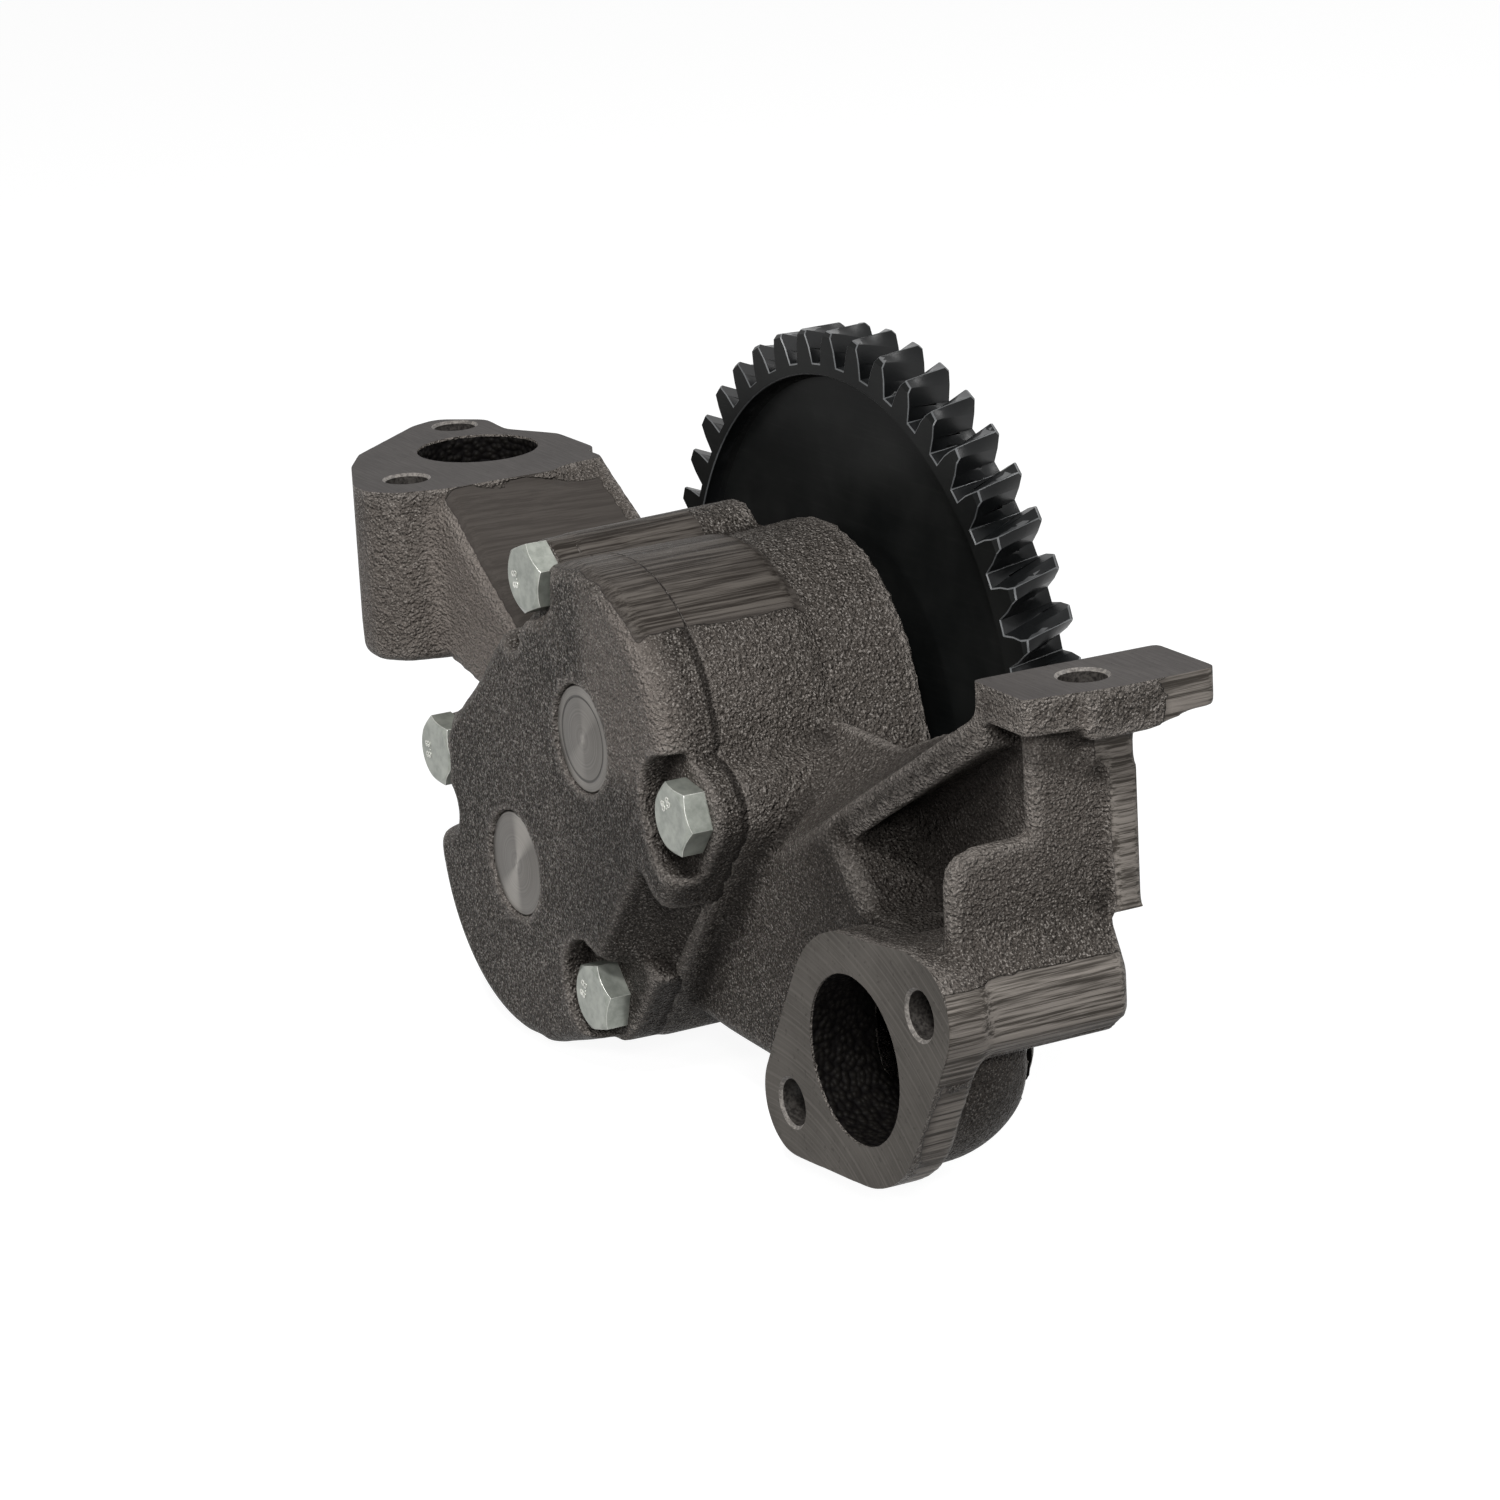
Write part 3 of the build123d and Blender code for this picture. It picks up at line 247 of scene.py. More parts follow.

# %% [markdown]
# Phosphated cast iron is dark, a little brown, and has the pebbly skin of the
# sand mould. Numbers painted on the points of each casting steer it:
# `ridge` and `hollow` where the metal bulges or sinks, `ground` where a
# grinder took the skin off, with `streaky` for the kind of patch, `side` for
# patches facing the side lamps, which are painted lighter as painted light,
# and `pale` and `dark` for painted light and painted shade. Ridges are rubbed
# lighter and carry a painted highlight, hollows get a painted shade, pebble
# tops and sparse specks are painted glints, and ground patches show streaks
# along the shafts.

# %% Cast skin
def cast_iron(name):
    cast = Finish(name, Metallic=0.0, Specular_IOR_Level=0.045)
    ridge = cast.painted("ridge")
    hollow = cast.painted("hollow")
    blots = cast.noise(55, 5.0, 0.62)
    streaks = cast.noise(1.0, 4.0, 0.75, cast.stretched((1100, 26, 1100)))
    broad = cast.noise(1.0, 2.0, 0.6, cast.stretched((300, 14, 300)))
    ragged = (blots - 0.5) * 1.1 + (broad - 0.5) * 0.5
    ground = (cast.painted("ground") + ragged).ramp(0.45, 0.53)
    lumps = cast.noise(850, 2.0, 0.5)
    finer = cast.noise(1900, 2.0, 0.6)
    slow = cast.noise(26, 4.0, 0.6)
    glint_and_pit_specks = cast.noise(2300, 1.0, 0.5)
    pebbles = lumps * 0.9 + finer * 0.7 - cast.cells(1500, 0.4) * 0.45
    tops = pebbles.ramp(0.50, 0.90)
    scores = (streaks * 0.10 + broad * 0.04) * ground * cast.painted("streaky")
    height = pebbles * (1.0 - ground) + scores

    colour = cast.mix(slow.ramp(0.35, 0.68), (0.050, 0.044, 0.038), (0.079, 0.069, 0.061))
    # Pebble tops get a lighter colour, a painted highlight standing in for glints.
    colour = cast.mix(tops * 0.50, colour, (0.245, 0.221, 0.200))
    # Sparse light specks are painted glints; the dark specks below are pits in the skin.
    colour = cast.mix(glint_and_pit_specks.ramp(0.57, 0.67) * 0.7, colour, (0.42, 0.39, 0.36))
    colour = cast.mix(glint_and_pit_specks.ramp(0.43, 0.34) * 0.85, colour, (0.016, 0.014, 0.012))
    # `pale` is painted light and `dark` is painted shade, both painted by box on the casting.
    colour = cast.mix(cast.painted("pale"), colour, (0.30, 0.262, 0.234))
    colour = cast.mix(cast.painted("dark"), colour, (0.020, 0.017, 0.015))
    # Ridges are rubbed lighter and also carry a painted highlight where they catch the light.
    colour = cast.mix(ridge * (0.25 + tops * 0.35), colour, (0.380, 0.345, 0.315))
    # Hollows get a painted shade.
    colour = cast.mix(hollow * 0.75, colour, (0.022, 0.019, 0.017))

    bare = cast.mix(streaks.ramp(0.38, 0.64), (0.024, 0.020, 0.017), (0.108, 0.096, 0.085))
    bare = cast.mix(cast.painted("streaky"), (0.058, 0.051, 0.046), bare)
    # Ground patches marked `side` face the side lamps and get a lighter bare colour as painted
    # light.
    bright = cast.mix(streaks.ramp(0.40, 0.60), (0.050, 0.044, 0.038), (0.235, 0.212, 0.190))
    bare = cast.mix(cast.painted("side"), bare, bright)
    colour = cast.mix(ground, colour, bare)
    rough = 0.42 - tops * 0.12 + slow * 0.08 + hollow * 0.1 - ridge * 0.06
    return cast.wear(Base_Color=colour, Roughness=rough, Normal=cast.bump(height, 1.9))


cast_skin = cast_iron("cast_skin")
print("Nodes in the cast skin:", len(cast_skin.node_tree.nodes))

# %% [markdown]
# Milled faces carry fine parallel lines and sit a shade lighter than the
# skin beside them, because the coating is thinner on smooth metal. The
# suction face shows the arcs of a wide facing cutter. The upper faces get a
# darker colour as painted shade and the suction face a lighter one as
# painted light.

# %% Milled surfaces
def milled(name, dark, light, arcs_about=None, turn=0.0):
    face = Finish(name, Metallic=0.0, Specular_IOR_Level=0.03)
    if arcs_about is None:
        lines = face.noise(1.0, 2.0, 0.7, face.stretched((90, 1900, 90), (0, 0, turn)))
    else:
        x, z, radius = face.about(arcs_about)
        lines = face.rings(radius, 1300)
    blots = face.noise(48, 5.0, 0.62)
    specks = face.noise(900, 2.0, 0.6)
    brighter = tuple(part * 1.7 for part in light)
    darker = tuple(part * 0.5 for part in dark)
    colour = face.mix(blots.ramp(0.32, 0.66), dark, light)
    colour = face.mix(lines.ramp(0.40, 0.75) * 0.30, colour, brighter)
    colour = face.mix(specks.ramp(0.60, 0.72) * 0.4, colour, darker)
    rough = 0.48 + blots * 0.14 - lines * 0.08
    return face.wear(Base_Color=colour, Roughness=rough, Normal=face.bump(lines, 0.010))


CUTTER_AXIS = at(60, 0, -110)
# The upper faces are painted darker and the suction face lighter: painted shade and painted light.
milled_top = milled("milled_top", (0.058, 0.053, 0.051), (0.076, 0.070, 0.067),
                    turn=radians(24))
milled_front = milled("milled_front", (0.085, 0.078, 0.070), (0.125, 0.115, 0.104),
                      arcs_about=CUTTER_AXIS)
print("Milled surfaces:", milled_top.name, milled_front.name)

# %% [markdown]
# The wall of a drilled hole is finely scored and painted dark, a painted shade
# inside the hole; its chamfer is bright. The cored passages behind the ports
# are rough and painted nearly black, a painted shade deep inside.

# %% Holes and passages
def drilled(name, dark, light):
    hole = Finish(name, Metallic=0.0, Specular_IOR_Level=0.2)
    scores = hole.noise(1500, 2.0, 0.6)
    colour = hole.mix(scores.ramp(0.3, 0.7), dark, light)
    rough = 0.38 + scores * 0.1
    return hole.wear(Base_Color=colour, Roughness=rough, Normal=hole.bump(scores, 0.01))


def shaded_passage_finish(name):
    inside = Finish(name, Metallic=0.0, Specular_IOR_Level=0.05)
    lumps = inside.cells(850, 0.5)
    # Nearly black: a painted shade deep inside the passage.
    colour = inside.mix(lumps.ramp(0.2, 0.7), (0.009, 0.008, 0.007), (0.003, 0.0025, 0.0025))
    rough = 0.5 + lumps * 0.2
    return inside.wear(Base_Color=colour, Roughness=rough, Normal=inside.bump(1.0 - lumps, 0.7))


# The hole wall is dark as painted shade inside the hole.
hole_wall = drilled("drilled_hole", (0.016, 0.014, 0.013), (0.06, 0.055, 0.05))
chamfer = drilled("drilled_chamfer", (0.10, 0.092, 0.085), (0.26, 0.24, 0.22))
passage_wall = shaded_passage_finish("passage_wall")
print("Hole surfaces:", hole_wall.name, chamfer.name, passage_wall.name)

# %% [markdown]
# The drive gear is black-oxided steel: nearly black, satin, with cutter
# lines and slightly bare, lighter edges, whose lighter colour is also a
# painted highlight. The lands on top of the teeth are smoother than the web,
# and the lighter colour of the lands that face up is a painted reflection.

# %% Black gear steel
def black_steel(name, sheen, dark, light):
    black = Finish(name, Metallic=0.0, Specular_IOR_Level=sheen)
    slow = black.noise(45, 4.0, 0.6)
    fine = black.noise(2600, 2.0, 0.6)
    lines = black.noise(1.0, 2.0, 0.6, black.stretched((60, 60, 2200)))
    colour = black.mix(slow.ramp(0.3, 0.7) * 0.7 + lines.ramp(0.5, 0.8) * 0.3, dark, light)
    rough = 0.24 + slow * 0.12 + fine * 0.06
    height = fine + lines * 0.5
    return black.wear(Base_Color=colour, Roughness=rough, Normal=black.bump(height, 0.006))


gear_black = black_steel("gear_black", 0.05, (0.0050, 0.0055, 0.0055), (0.0140, 0.0145, 0.0140))
tooth_black = black_steel("tooth_black", 0.16, (0.0035, 0.0040, 0.0042), (0.010, 0.0105, 0.011))
# A lighter copy for the lands that face up: a painted reflection.
tooth_land = black_steel("tooth_land", 0.80, (0.022, 0.023, 0.024), (0.070, 0.072, 0.074))
# Edges: bare filed steel, and also a painted highlight.
tooth_edge = black_steel("tooth_edge", 0.50, (0.045, 0.048, 0.050), (0.14, 0.144, 0.148))
print("Gear surfaces:", gear_black.name, tooth_black.name, tooth_land.name, tooth_edge.name)

# %% [markdown]
# The ends of the shafts are turned on a lathe. They show fine rings and a
# groove, and two sectors are painted lighter as a painted reflection, where
# the rings would turn square to the light.

# %% Turned shaft ends
PAINTED_GLEAM_ANGLE = radians(66)


def turned_steel(name, centre, ring, painted_gleam):
    steel = Finish(name, Metallic=1.0)
    x, z, radius = steel.about(centre)
    angle = z.maths("ARCTAN2", z, x)
    # Two lighter sectors: a painted reflection of the lamps on the turned rings.
    painted_gleam_sector = angle.maths("COSINE", (angle - PAINTED_GLEAM_ANGLE) * 2.0).ramp(0.35, 1.0)
    fine = steel.rings(radius, 2600)
    wide = steel.rings(radius, 500, 1.0)
    blots = steel.noise(160, 4.0, 0.6)
    groove = 1.0 - abs(radius - ring * MM).ramp(0.00010, 0.00035)
    rim = radius.ramp(ring * MM, ring * MM + 0.0003)
    centre_dot = 1.0 - radius.ramp(0.0004, 0.0016)
    shade = fine * 0.30 + wide * 0.15 + blots * 0.2 + painted_gleam_sector * painted_gleam
    shade = shade + rim * 0.10 + centre_dot * 0.3 - groove * 0.5
    colour = steel.mix(shade, (0.050, 0.046, 0.042), (0.26, 0.245, 0.225))
    rough = 0.30 + blots * 0.16
    height = fine * 0.5 + wide * 0.8 - groove * 2.0
    return steel.wear(Base_Color=colour, Roughness=rough, Normal=steel.bump(height, 0.05))


drive_end = turned_steel("drive_shaft_steel", DRIVE, 8.6, 0.22)
idler_end = turned_steel("idler_shaft_steel", IDLER, 12.5, 0.55)
print("Shaft surfaces:", drive_end.name, idler_end.name)

# %% [markdown]
# Bolts are zinc plated, with brighter broken edges, whose lighter colour is
# also a painted highlight. Bushes are bronze, and pins, keys and pump gears
# are plain bright steel.

# %% Plated and plain metals
def zinc_plate(name, dark, light):
    zinc = Finish(name, Metallic=0.5)
    blots = zinc.noise(420, 4.0, 0.65)
    broad = zinc.noise(150, 3.0, 0.6)
    fine = zinc.noise(3200, 2.0, 0.5)
    share = blots.ramp(0.3, 0.7) * 0.6 + broad.ramp(0.35, 0.65) * 0.4
    colour = zinc.mix(share, dark, light)
    rough = 0.24 + blots * 0.16
    return zinc.wear(Base_Color=colour, Roughness=rough, Normal=zinc.bump(fine, 0.008))


def plain_metal(name, dark, light, roughness):
    metal = Finish(name, Metallic=0.9)
    blots = metal.noise(220, 4.0, 0.6)
    colour = metal.mix(blots.ramp(0.3, 0.7), dark, light)
    rough = roughness + blots * 0.12
    fine = metal.noise(2400, 2.0, 0.5)
    return metal.wear(Base_Color=colour, Roughness=rough, Normal=metal.bump(fine, 0.006))


zinc = zinc_plate("zinc_plate", (0.20, 0.215, 0.19), (0.36, 0.375, 0.335))
# Lighter edge copy: bare broken edges and also a painted highlight.
zinc_edge = zinc_plate("zinc_edge", (0.50, 0.50, 0.46), (0.78, 0.78, 0.73))
bronze = plain_metal("bush_bronze", (0.34, 0.19, 0.08), (0.55, 0.33, 0.15), 0.32)
bright_steel = plain_metal("bright_steel", (0.24, 0.24, 0.24), (0.45, 0.44, 0.43), 0.28)
spring_wire = plain_metal("spring_wire", (0.10, 0.10, 0.11), (0.22, 0.22, 0.23), 0.30)
print("Materials so far:", len(bpy.data.materials))

# %% [markdown]
# The CAD pieces stay as they are. Each shape below starts as a copy of one,
# is worked on and then takes its place, on the same moving body.

# %% Copies that replace CAD pieces
def pick(piece):
    # Make one object the only selected and active one
    bpy.ops.object.select_all(action="DESELECT")
    piece.select_set(True)
    bpy.context.view_layer.objects.active = piece


def copy_of(node, name):
    piece = bpy.data.objects.new(name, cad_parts[node].data.copy())
    bpy.context.collection.objects.link(piece)
    piece.data.materials.clear()
    pick(piece)
    bpy.ops.object.mode_set(mode="EDIT")
    bpy.ops.mesh.select_all(action="SELECT")
    bpy.ops.mesh.remove_doubles(threshold=0.000002)
    bpy.ops.mesh.normals_make_consistent(inside=False)
    bpy.ops.object.mode_set(mode="OBJECT")
    return piece


def stands_for(piece, node, body):
    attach(piece, body)
    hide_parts(node)


def apply(piece, kind, **settings):
    pick(piece)
    modifier = piece.modifiers.new(kind.lower(), kind)
    for setting, value in settings.items():
        setattr(modifier, setting, value)
    bpy.ops.object.modifier_apply(modifier=modifier.name)


print("Pieces to copy from:", ", ".join(sorted(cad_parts)[:6]), "and more")

# %% [markdown]
# Some stock is left on the faces that get milled, as a foundry does. Other
# corners are carved off with straight prisms, and round tools are made on a
# lathe: an outline spun round an axis.

# %% Stock, prisms and lathe work
ON_PLANE = 0.000006
LATHE_STEPS = 40


def leave_stock(piece, place, out, amount):
    # Move every point of one flat face outwards by some millimetres
    moved = 0
    for point in piece.data.vertices:
        if abs((point.co - Vector(place)).dot(out)) < ON_PLANE:
            point.co += out * amount * MM
            moved += 1
    print(piece.name, "points with stock:", moved)


def carve(piece, corners, along):
    # Cut a straight prism, given by the corners of one end and its run, out of a piece
    mesh = bpy.data.meshes.new("cutter")
    mesh.from_pydata([tuple(corner) for corner in corners], [], [list(range(len(corners)))])
    cutter = bpy.data.objects.new("cutter", mesh)
    bpy.context.collection.objects.link(cutter)
    pick(cutter)
    bpy.ops.object.mode_set(mode="EDIT")
    bpy.ops.mesh.select_all(action="SELECT")
    bpy.ops.mesh.extrude_region_move(TRANSFORM_OT_translate={"value": tuple(along)})
    bpy.ops.mesh.select_all(action="SELECT")
    bpy.ops.mesh.normals_make_consistent(inside=False)
    bpy.ops.object.mode_set(mode="OBJECT")
    before = len(piece.data.polygons)
    apply(piece, "BOOLEAN", operation="DIFFERENCE", solver="EXACT", object=cutter)
    print(piece.name, "faces before and after carving:", before, len(piece.data.polygons))
    bpy.data.objects.remove(cutter)


def on_lathe(name, outline, place, axis):
    # Spin an outline of (radius, height) in millimetres round an axis
    along = Vector(axis)
    side = along.orthogonal().normalized()
    corners = [place + side * radius * MM + along * height * MM for radius, height in outline]
    links = [(i, i + 1) for i in range(len(corners) - 1)]
    mesh = bpy.data.meshes.new(name)
    mesh.from_pydata([tuple(corner) for corner in corners], links, [])
    piece = bpy.data.objects.new(name, mesh)
    bpy.context.collection.objects.link(piece)
    pick(piece)
    bpy.ops.object.mode_set(mode="EDIT")
    bpy.ops.mesh.select_mode(type="VERT")
    bpy.ops.mesh.select_all(action="SELECT")
    bpy.ops.mesh.spin(steps=LATHE_STEPS, angle=2 * pi, center=tuple(place), axis=tuple(along))
    bpy.ops.mesh.select_all(action="SELECT")
    bpy.ops.mesh.remove_doubles(threshold=0.000001)
    bpy.ops.mesh.normals_make_consistent(inside=False)
    bpy.ops.mesh.select_mode(type="FACE")
    bpy.ops.object.mode_set(mode="OBJECT")
    return piece


print("Lathe steps in a turn:", LATHE_STEPS)

# %% [markdown]
# To find ridges and hollows, each point is compared with its neighbours: on
# a ridge they lie below its tangent plane, in a hollow above it. The answer
# is averaged a few times over the neighbours and can be painted on the mesh.

# %% Ridges and hollows
def ramp(values, low, high):
    # 0 up to low, 1 from high, straight between
    return np.clip((values - low) / (high - low), 0, 1)


def points_of(piece):
    places = np.empty(len(piece.data.vertices) * 3, dtype=np.float32)
    normals = np.empty_like(places)
    piece.data.vertices.foreach_get("co", places)
    piece.data.vertices.foreach_get("normal", normals)
    return places.reshape(-1, 3), normals.reshape(-1, 3)


def bulge_of(piece, places, normals):
    # How much the surface bulges at each point, in 1/mm, and the edges as pairs of points
    edges = np.empty(len(piece.data.edges) * 2, dtype=np.int32)
    piece.data.edges.foreach_get("vertices", edges)
    edges = edges.reshape(-1, 2)
    step = places[edges[:, 1]] - places[edges[:, 0]]
    reach = np.maximum((step * step).sum(1), 1e-10)
    bulge = np.zeros(len(places))
    np.add.at(bulge, edges[:, 0], -(step * normals[edges[:, 0]]).sum(1) / reach * MM)
    np.add.at(bulge, edges[:, 1], (step * normals[edges[:, 1]]).sum(1) / reach * MM)
    bulge /= np.maximum(np.bincount(edges.ravel(), minlength=len(places)), 1)
    return edges, bulge


def spread(values, edges, rounds):
    # Average each point with its neighbours a few times
    count = np.bincount(edges.ravel(), minlength=len(values)) + 1
    for _ in range(rounds):
        total = values.copy()
        np.add.at(total, edges[:, 0], values[edges[:, 1]])
        np.add.at(total, edges[:, 1], values[edges[:, 0]])
        values = total / count
    return values


def inside_box(places, low, high, edge=1.5):
    # 1 inside the box, falling to 0 over an edge of some millimetres
    share = np.ones(len(places))
    for i in range(3):
        into = np.minimum(places[:, i] - low[i], high[i] - places[:, i]) / (edge * MM)
        share = np.minimum(share, np.clip(0.5 + into * 0.5, 0, 1))
    return share


def paint(piece, name, amounts):
    # Paint one number on every point of the mesh
    layer = piece.data.attributes.new(name, "FLOAT", "POINT")
    layer.data.foreach_set("value", np.ascontiguousarray(amounts, dtype=np.float32))


def paint_ridges(piece, low, high):
    places, normals = points_of(piece)
    edges, bulge = bulge_of(piece, places, normals)
    bulge = spread(bulge, edges, 3)
    paint(piece, "ridge", ramp(bulge, low, high))
    paint(piece, "hollow", ramp(-bulge, low, high))
    print(piece.name, "share of ridges:", round(float((bulge > high).mean()), 3))


print("A value halfway up a ramp:", ramp(0.5, 0, 1))

# %% [markdown]
# Sand castings have no sharp inside corners: metal is blended from one shape
# to the next. A voxel remesh joins the CAD shapes into one skin and smoothing
# rounds it, with extra rounds in the hollows of a few boxes.

# %% Casting
LEAST_SHARE = 0.02


def soften(piece, boxes, rounds, ridges_too):
    # Round the hollow corners inside some boxes much more than the rest
    places, normals = points_of(piece)
    edges, bulge = bulge_of(piece, places, normals)
    hollow = np.clip(spread(ramp(-bulge, 0.03, 0.11), edges, 5) * 2.5, 0, 1)
    share = np.zeros(len(places))
    for low, high in boxes:
        share = np.maximum(share, inside_box(places, low, high, 3.0))
    if not ridges_too:
        share *= hollow
    group = piece.vertex_groups.new(name="hollows")
    for index in np.nonzero(share > LEAST_SHARE)[0]:
        group.add([int(index)], float(share[index]), "REPLACE")
    apply(piece, "SMOOTH", factor=0.5, iterations=rounds, vertex_group="hollows")
    piece.vertex_groups.clear()
    print(piece.name, "points softened:", int((share > LEAST_SHARE).sum()))


def cast(piece, voxel, rounds, faces, soft_boxes, soft_rounds=40, ridges_too=False):
    apply(piece, "REMESH", mode="VOXEL", voxel_size=voxel * MM)
    apply(piece, "SMOOTH", factor=0.5, iterations=rounds)
    soften(piece, soft_boxes, soft_rounds, ridges_too)
    apply(piece, "TRIANGULATE")
    skin = len(piece.data.polygons)
    ratio = min(1.0, faces / skin)
    print(piece.name, "skin triangles:", skin, "kept share:", round(ratio, 2))
    apply(piece, "DECIMATE", ratio=ratio)


print("Casting rounds off hollows in boxes")

# %% [markdown]
# Milling is a bisect: it cuts what stands above a plane and fills the cut
# with one crisp flat face. It only touches the faces inside a box.

# %% Milling
EVERYWHERE = ((-1, -1, -1), (1, 1, 1))


def choose_faces(piece, near, out=None, place=None):
    # Select the faces inside a box; with a place and direction only those on that plane
    low, high = near
    chosen = 0
    for face in piece.data.polygons:
        inside = all(low[i] < face.center[i] < high[i] for i in range(3))
        if inside and place is not None:
            off_plane = abs((face.center - place).dot(out))
            inside = face.normal.dot(out) > 0.999 and off_plane < 0.00003
        face.select = inside
        chosen += inside
    return chosen


def nothing_selected(piece):
    pick(piece)
    bpy.ops.object.mode_set(mode="EDIT")
    bpy.ops.mesh.select_all(action="DESELECT")
    bpy.ops.object.mode_set(mode="OBJECT")


def mill(piece, place, out, near):
    # Cut what stands above a plane off the faces within a box of two corners
    nothing_selected(piece)
    print(piece.name, "faces near the cutter:", choose_faces(piece, near))
    bpy.ops.object.mode_set(mode="EDIT")
    bpy.ops.mesh.bisect(plane_co=place, plane_no=out, use_fill=True, clear_outer=True,
                        threshold=0.0000001)
    bpy.ops.object.mode_set(mode="OBJECT")


print("The whole work area in metres:", EVERYWHERE)

# %% [markdown]
# The housing gets 2 mm of stock on the upper mounting face, on the suction
# face and on the joint face that the cover later hides. The corner of its
# thin wall is carved round, and a plug closes the gap that the hole in the
# pad leaves under it.

# %% Rough housing
STOCK = 2.0
WALL_CORNER = [at(110, y, z) for y, z in ((13, 3), (21, 3), (21, 2.4), (18, 1.7), (15.3, 0.2),
                                          (14.1, -2), (13.6, -5), (13, -5))]
WALL_RUN = Vector((12, 0, 0)) * MM
PLUG = [(0, -8.0), (5.4, -8.0), (5.4, 0.0), (0, 0.0)]
SOFT_CORNERS = [
    (at(56, 12, -36), at(113, 50, 8)),
    (at(-100, 12, -40), at(-36, 60, 29)),
    (at(22, 12, -40), at(66, 45, 26)),
]
housing = copy_of("pump_housing", "cast_housing")
for place, out in (((0, 0, 0), UP), ((0, 0, -0.0002), UP),
                   (at(0, SUCTION_Y, 0), FRONT), (at(0, JOINT_Y, 0), FRONT)):
    leave_stock(housing, place, out, STOCK)
carve(housing, WALL_CORNER, WALL_RUN)
plug = on_lathe("plug", PLUG, at(114.3, 45.5, 22.8), UP)
apply(housing, "BOOLEAN", operation="UNION", solver="EXACT", object=plug)
bpy.data.objects.remove(plug)
cast(housing, 1.0, 6, 150000, SOFT_CORNERS)

# %% [markdown]
# The upper face is milled at its two ends only, because the round body
# between them rises above its level.

# %% Milled faces of the housing
DISCHARGE_END = ((-1, -1, -0.005), (0.05, 1, 1))
PAD_END = ((0.22, -1, -0.005), (1, 1, 1))
FLANGE_END = ((0.1, -1, -1), (1, at(0, 12, 0).y, 1))
TOP = Vector((0, 0, 0))
FLANGE = at(0, SUCTION_Y, 0)
mill(housing, TOP, UP, DISCHARGE_END)
mill(housing, TOP, UP, PAD_END)
mill(housing, FLANGE, FRONT, FLANGE_END)
for skin in (cast_skin, milled_top, milled_front):
    housing.data.materials.append(skin)
for number, place, out in ((1, TOP, UP), (2, FLANGE, FRONT)):
    print("Faces milled:", choose_faces(housing, EVERYWHERE, out, place))
    for face in housing.data.polygons:
        if face.select:
            face.material_index = number

# %% [markdown]
# A drill is made on the lathe too: a straight shank with a cone on top that
# leaves the chamfer. The drills are joined and taken out of the housing in
# one boolean, which also hands over their materials: the dark wall, a painted
# shade, and the bright chamfer.

# %% Drilled holes
HOLE_RADIUS = 4.62
CHAMFER = 1.1
TOP_HOLES = ((-109.5, 17.3), (-148.6, 48.1), (114.3, 45.5))


def drill(place, axis, deep):
    shank = [(0, -deep), (HOLE_RADIUS, -deep), (HOLE_RADIUS, -0.6),
             (HOLE_RADIUS + CHAMFER, 0.5), (0, 0.5)]
    made = on_lathe("drill", shank, place, axis)
    made.data.materials.append(hole_wall)
    made.data.materials.append(chamfer)
    for face in made.data.polygons:
        if 0.3 < abs(face.normal.dot(axis)) < 0.95:
            face.material_index = 1
    return made


drills = [drill(at(x, y, MOUNT_Z), UP, 5.5) for x, y in TOP_HOLES]
drills += [drill(at(91.5 + side * 24.7, SUCTION_Y, -42.4 + side * 15.65), FRONT, 9)
           for side in (1, -1)]
pick(drills[0])
for made in drills[1:]:
    made.select_set(True)
bpy.ops.object.join()
apply(housing, "BOOLEAN", operation="DIFFERENCE", solver="EXACT", object=drills[0],
      material_mode="TRANSFER")
bpy.data.objects.remove(drills[0])
print("Housing materials:", [skin.name for skin in housing.data.materials])

# %% [markdown]
# Inside the two ports the cored passages are painted nearly black, as painted
# shade. Their faces lie near the port's axis and look towards it.

# %% Passages
def blacken_passage(piece, centre, axis, radius, near, far):
    # Give the last material to the walls round an axis, between two depths
    soot = len(piece.data.materials) - 1
    across = [i for i in range(3) if i != axis]
    inwards = 1 if near > 0 else -1
    given = 0
    for face in piece.data.polygons:
        away = face.center - centre
        near_axis = (away[across[0]] ** 2 + away[across[1]] ** 2) ** 0.5 < radius * MM
        looks_in = sum(away[i] * face.normal[i] for i in across) < 0.002
        looks_out = face.normal[axis] * inwards < 0.35
        deep_enough = near * MM < away[axis] < far * MM
        if near_axis and looks_in and looks_out and deep_enough and face.material_index == 0:
            face.material_index = soot
            given += 1
    print("Passage faces:", given)


housing.data.materials.append(passage_wall)
blacken_passage(housing, SUCTION, 1, 17.4, 0.6, 40)
blacken_passage(housing, DISCHARGE, 2, 14.2, -40, -0.6)

# %% [markdown]
# The grinder's patches are painted in boxes, on the faces that look one way:
# the top of the pump body, the sloping web beside the discharge face, the
# rail, the strip on the post, the end of the pad and the flange's side.

# %% Ground patches
RAIL_OUT = tuple(Vector((9.5, 0, 0.3)).normalized())
POST_OUT = tuple(Vector((39.0, 0, 1.4)).normalized())
WEB_OUT = (0.5, 0, 0.86)
WEB_STREAKS = 0.25
BODY_PATCH = (at(-26, 1.5, 24.5), at(24, 38.5, 40), (0.25, 0, 0.97))


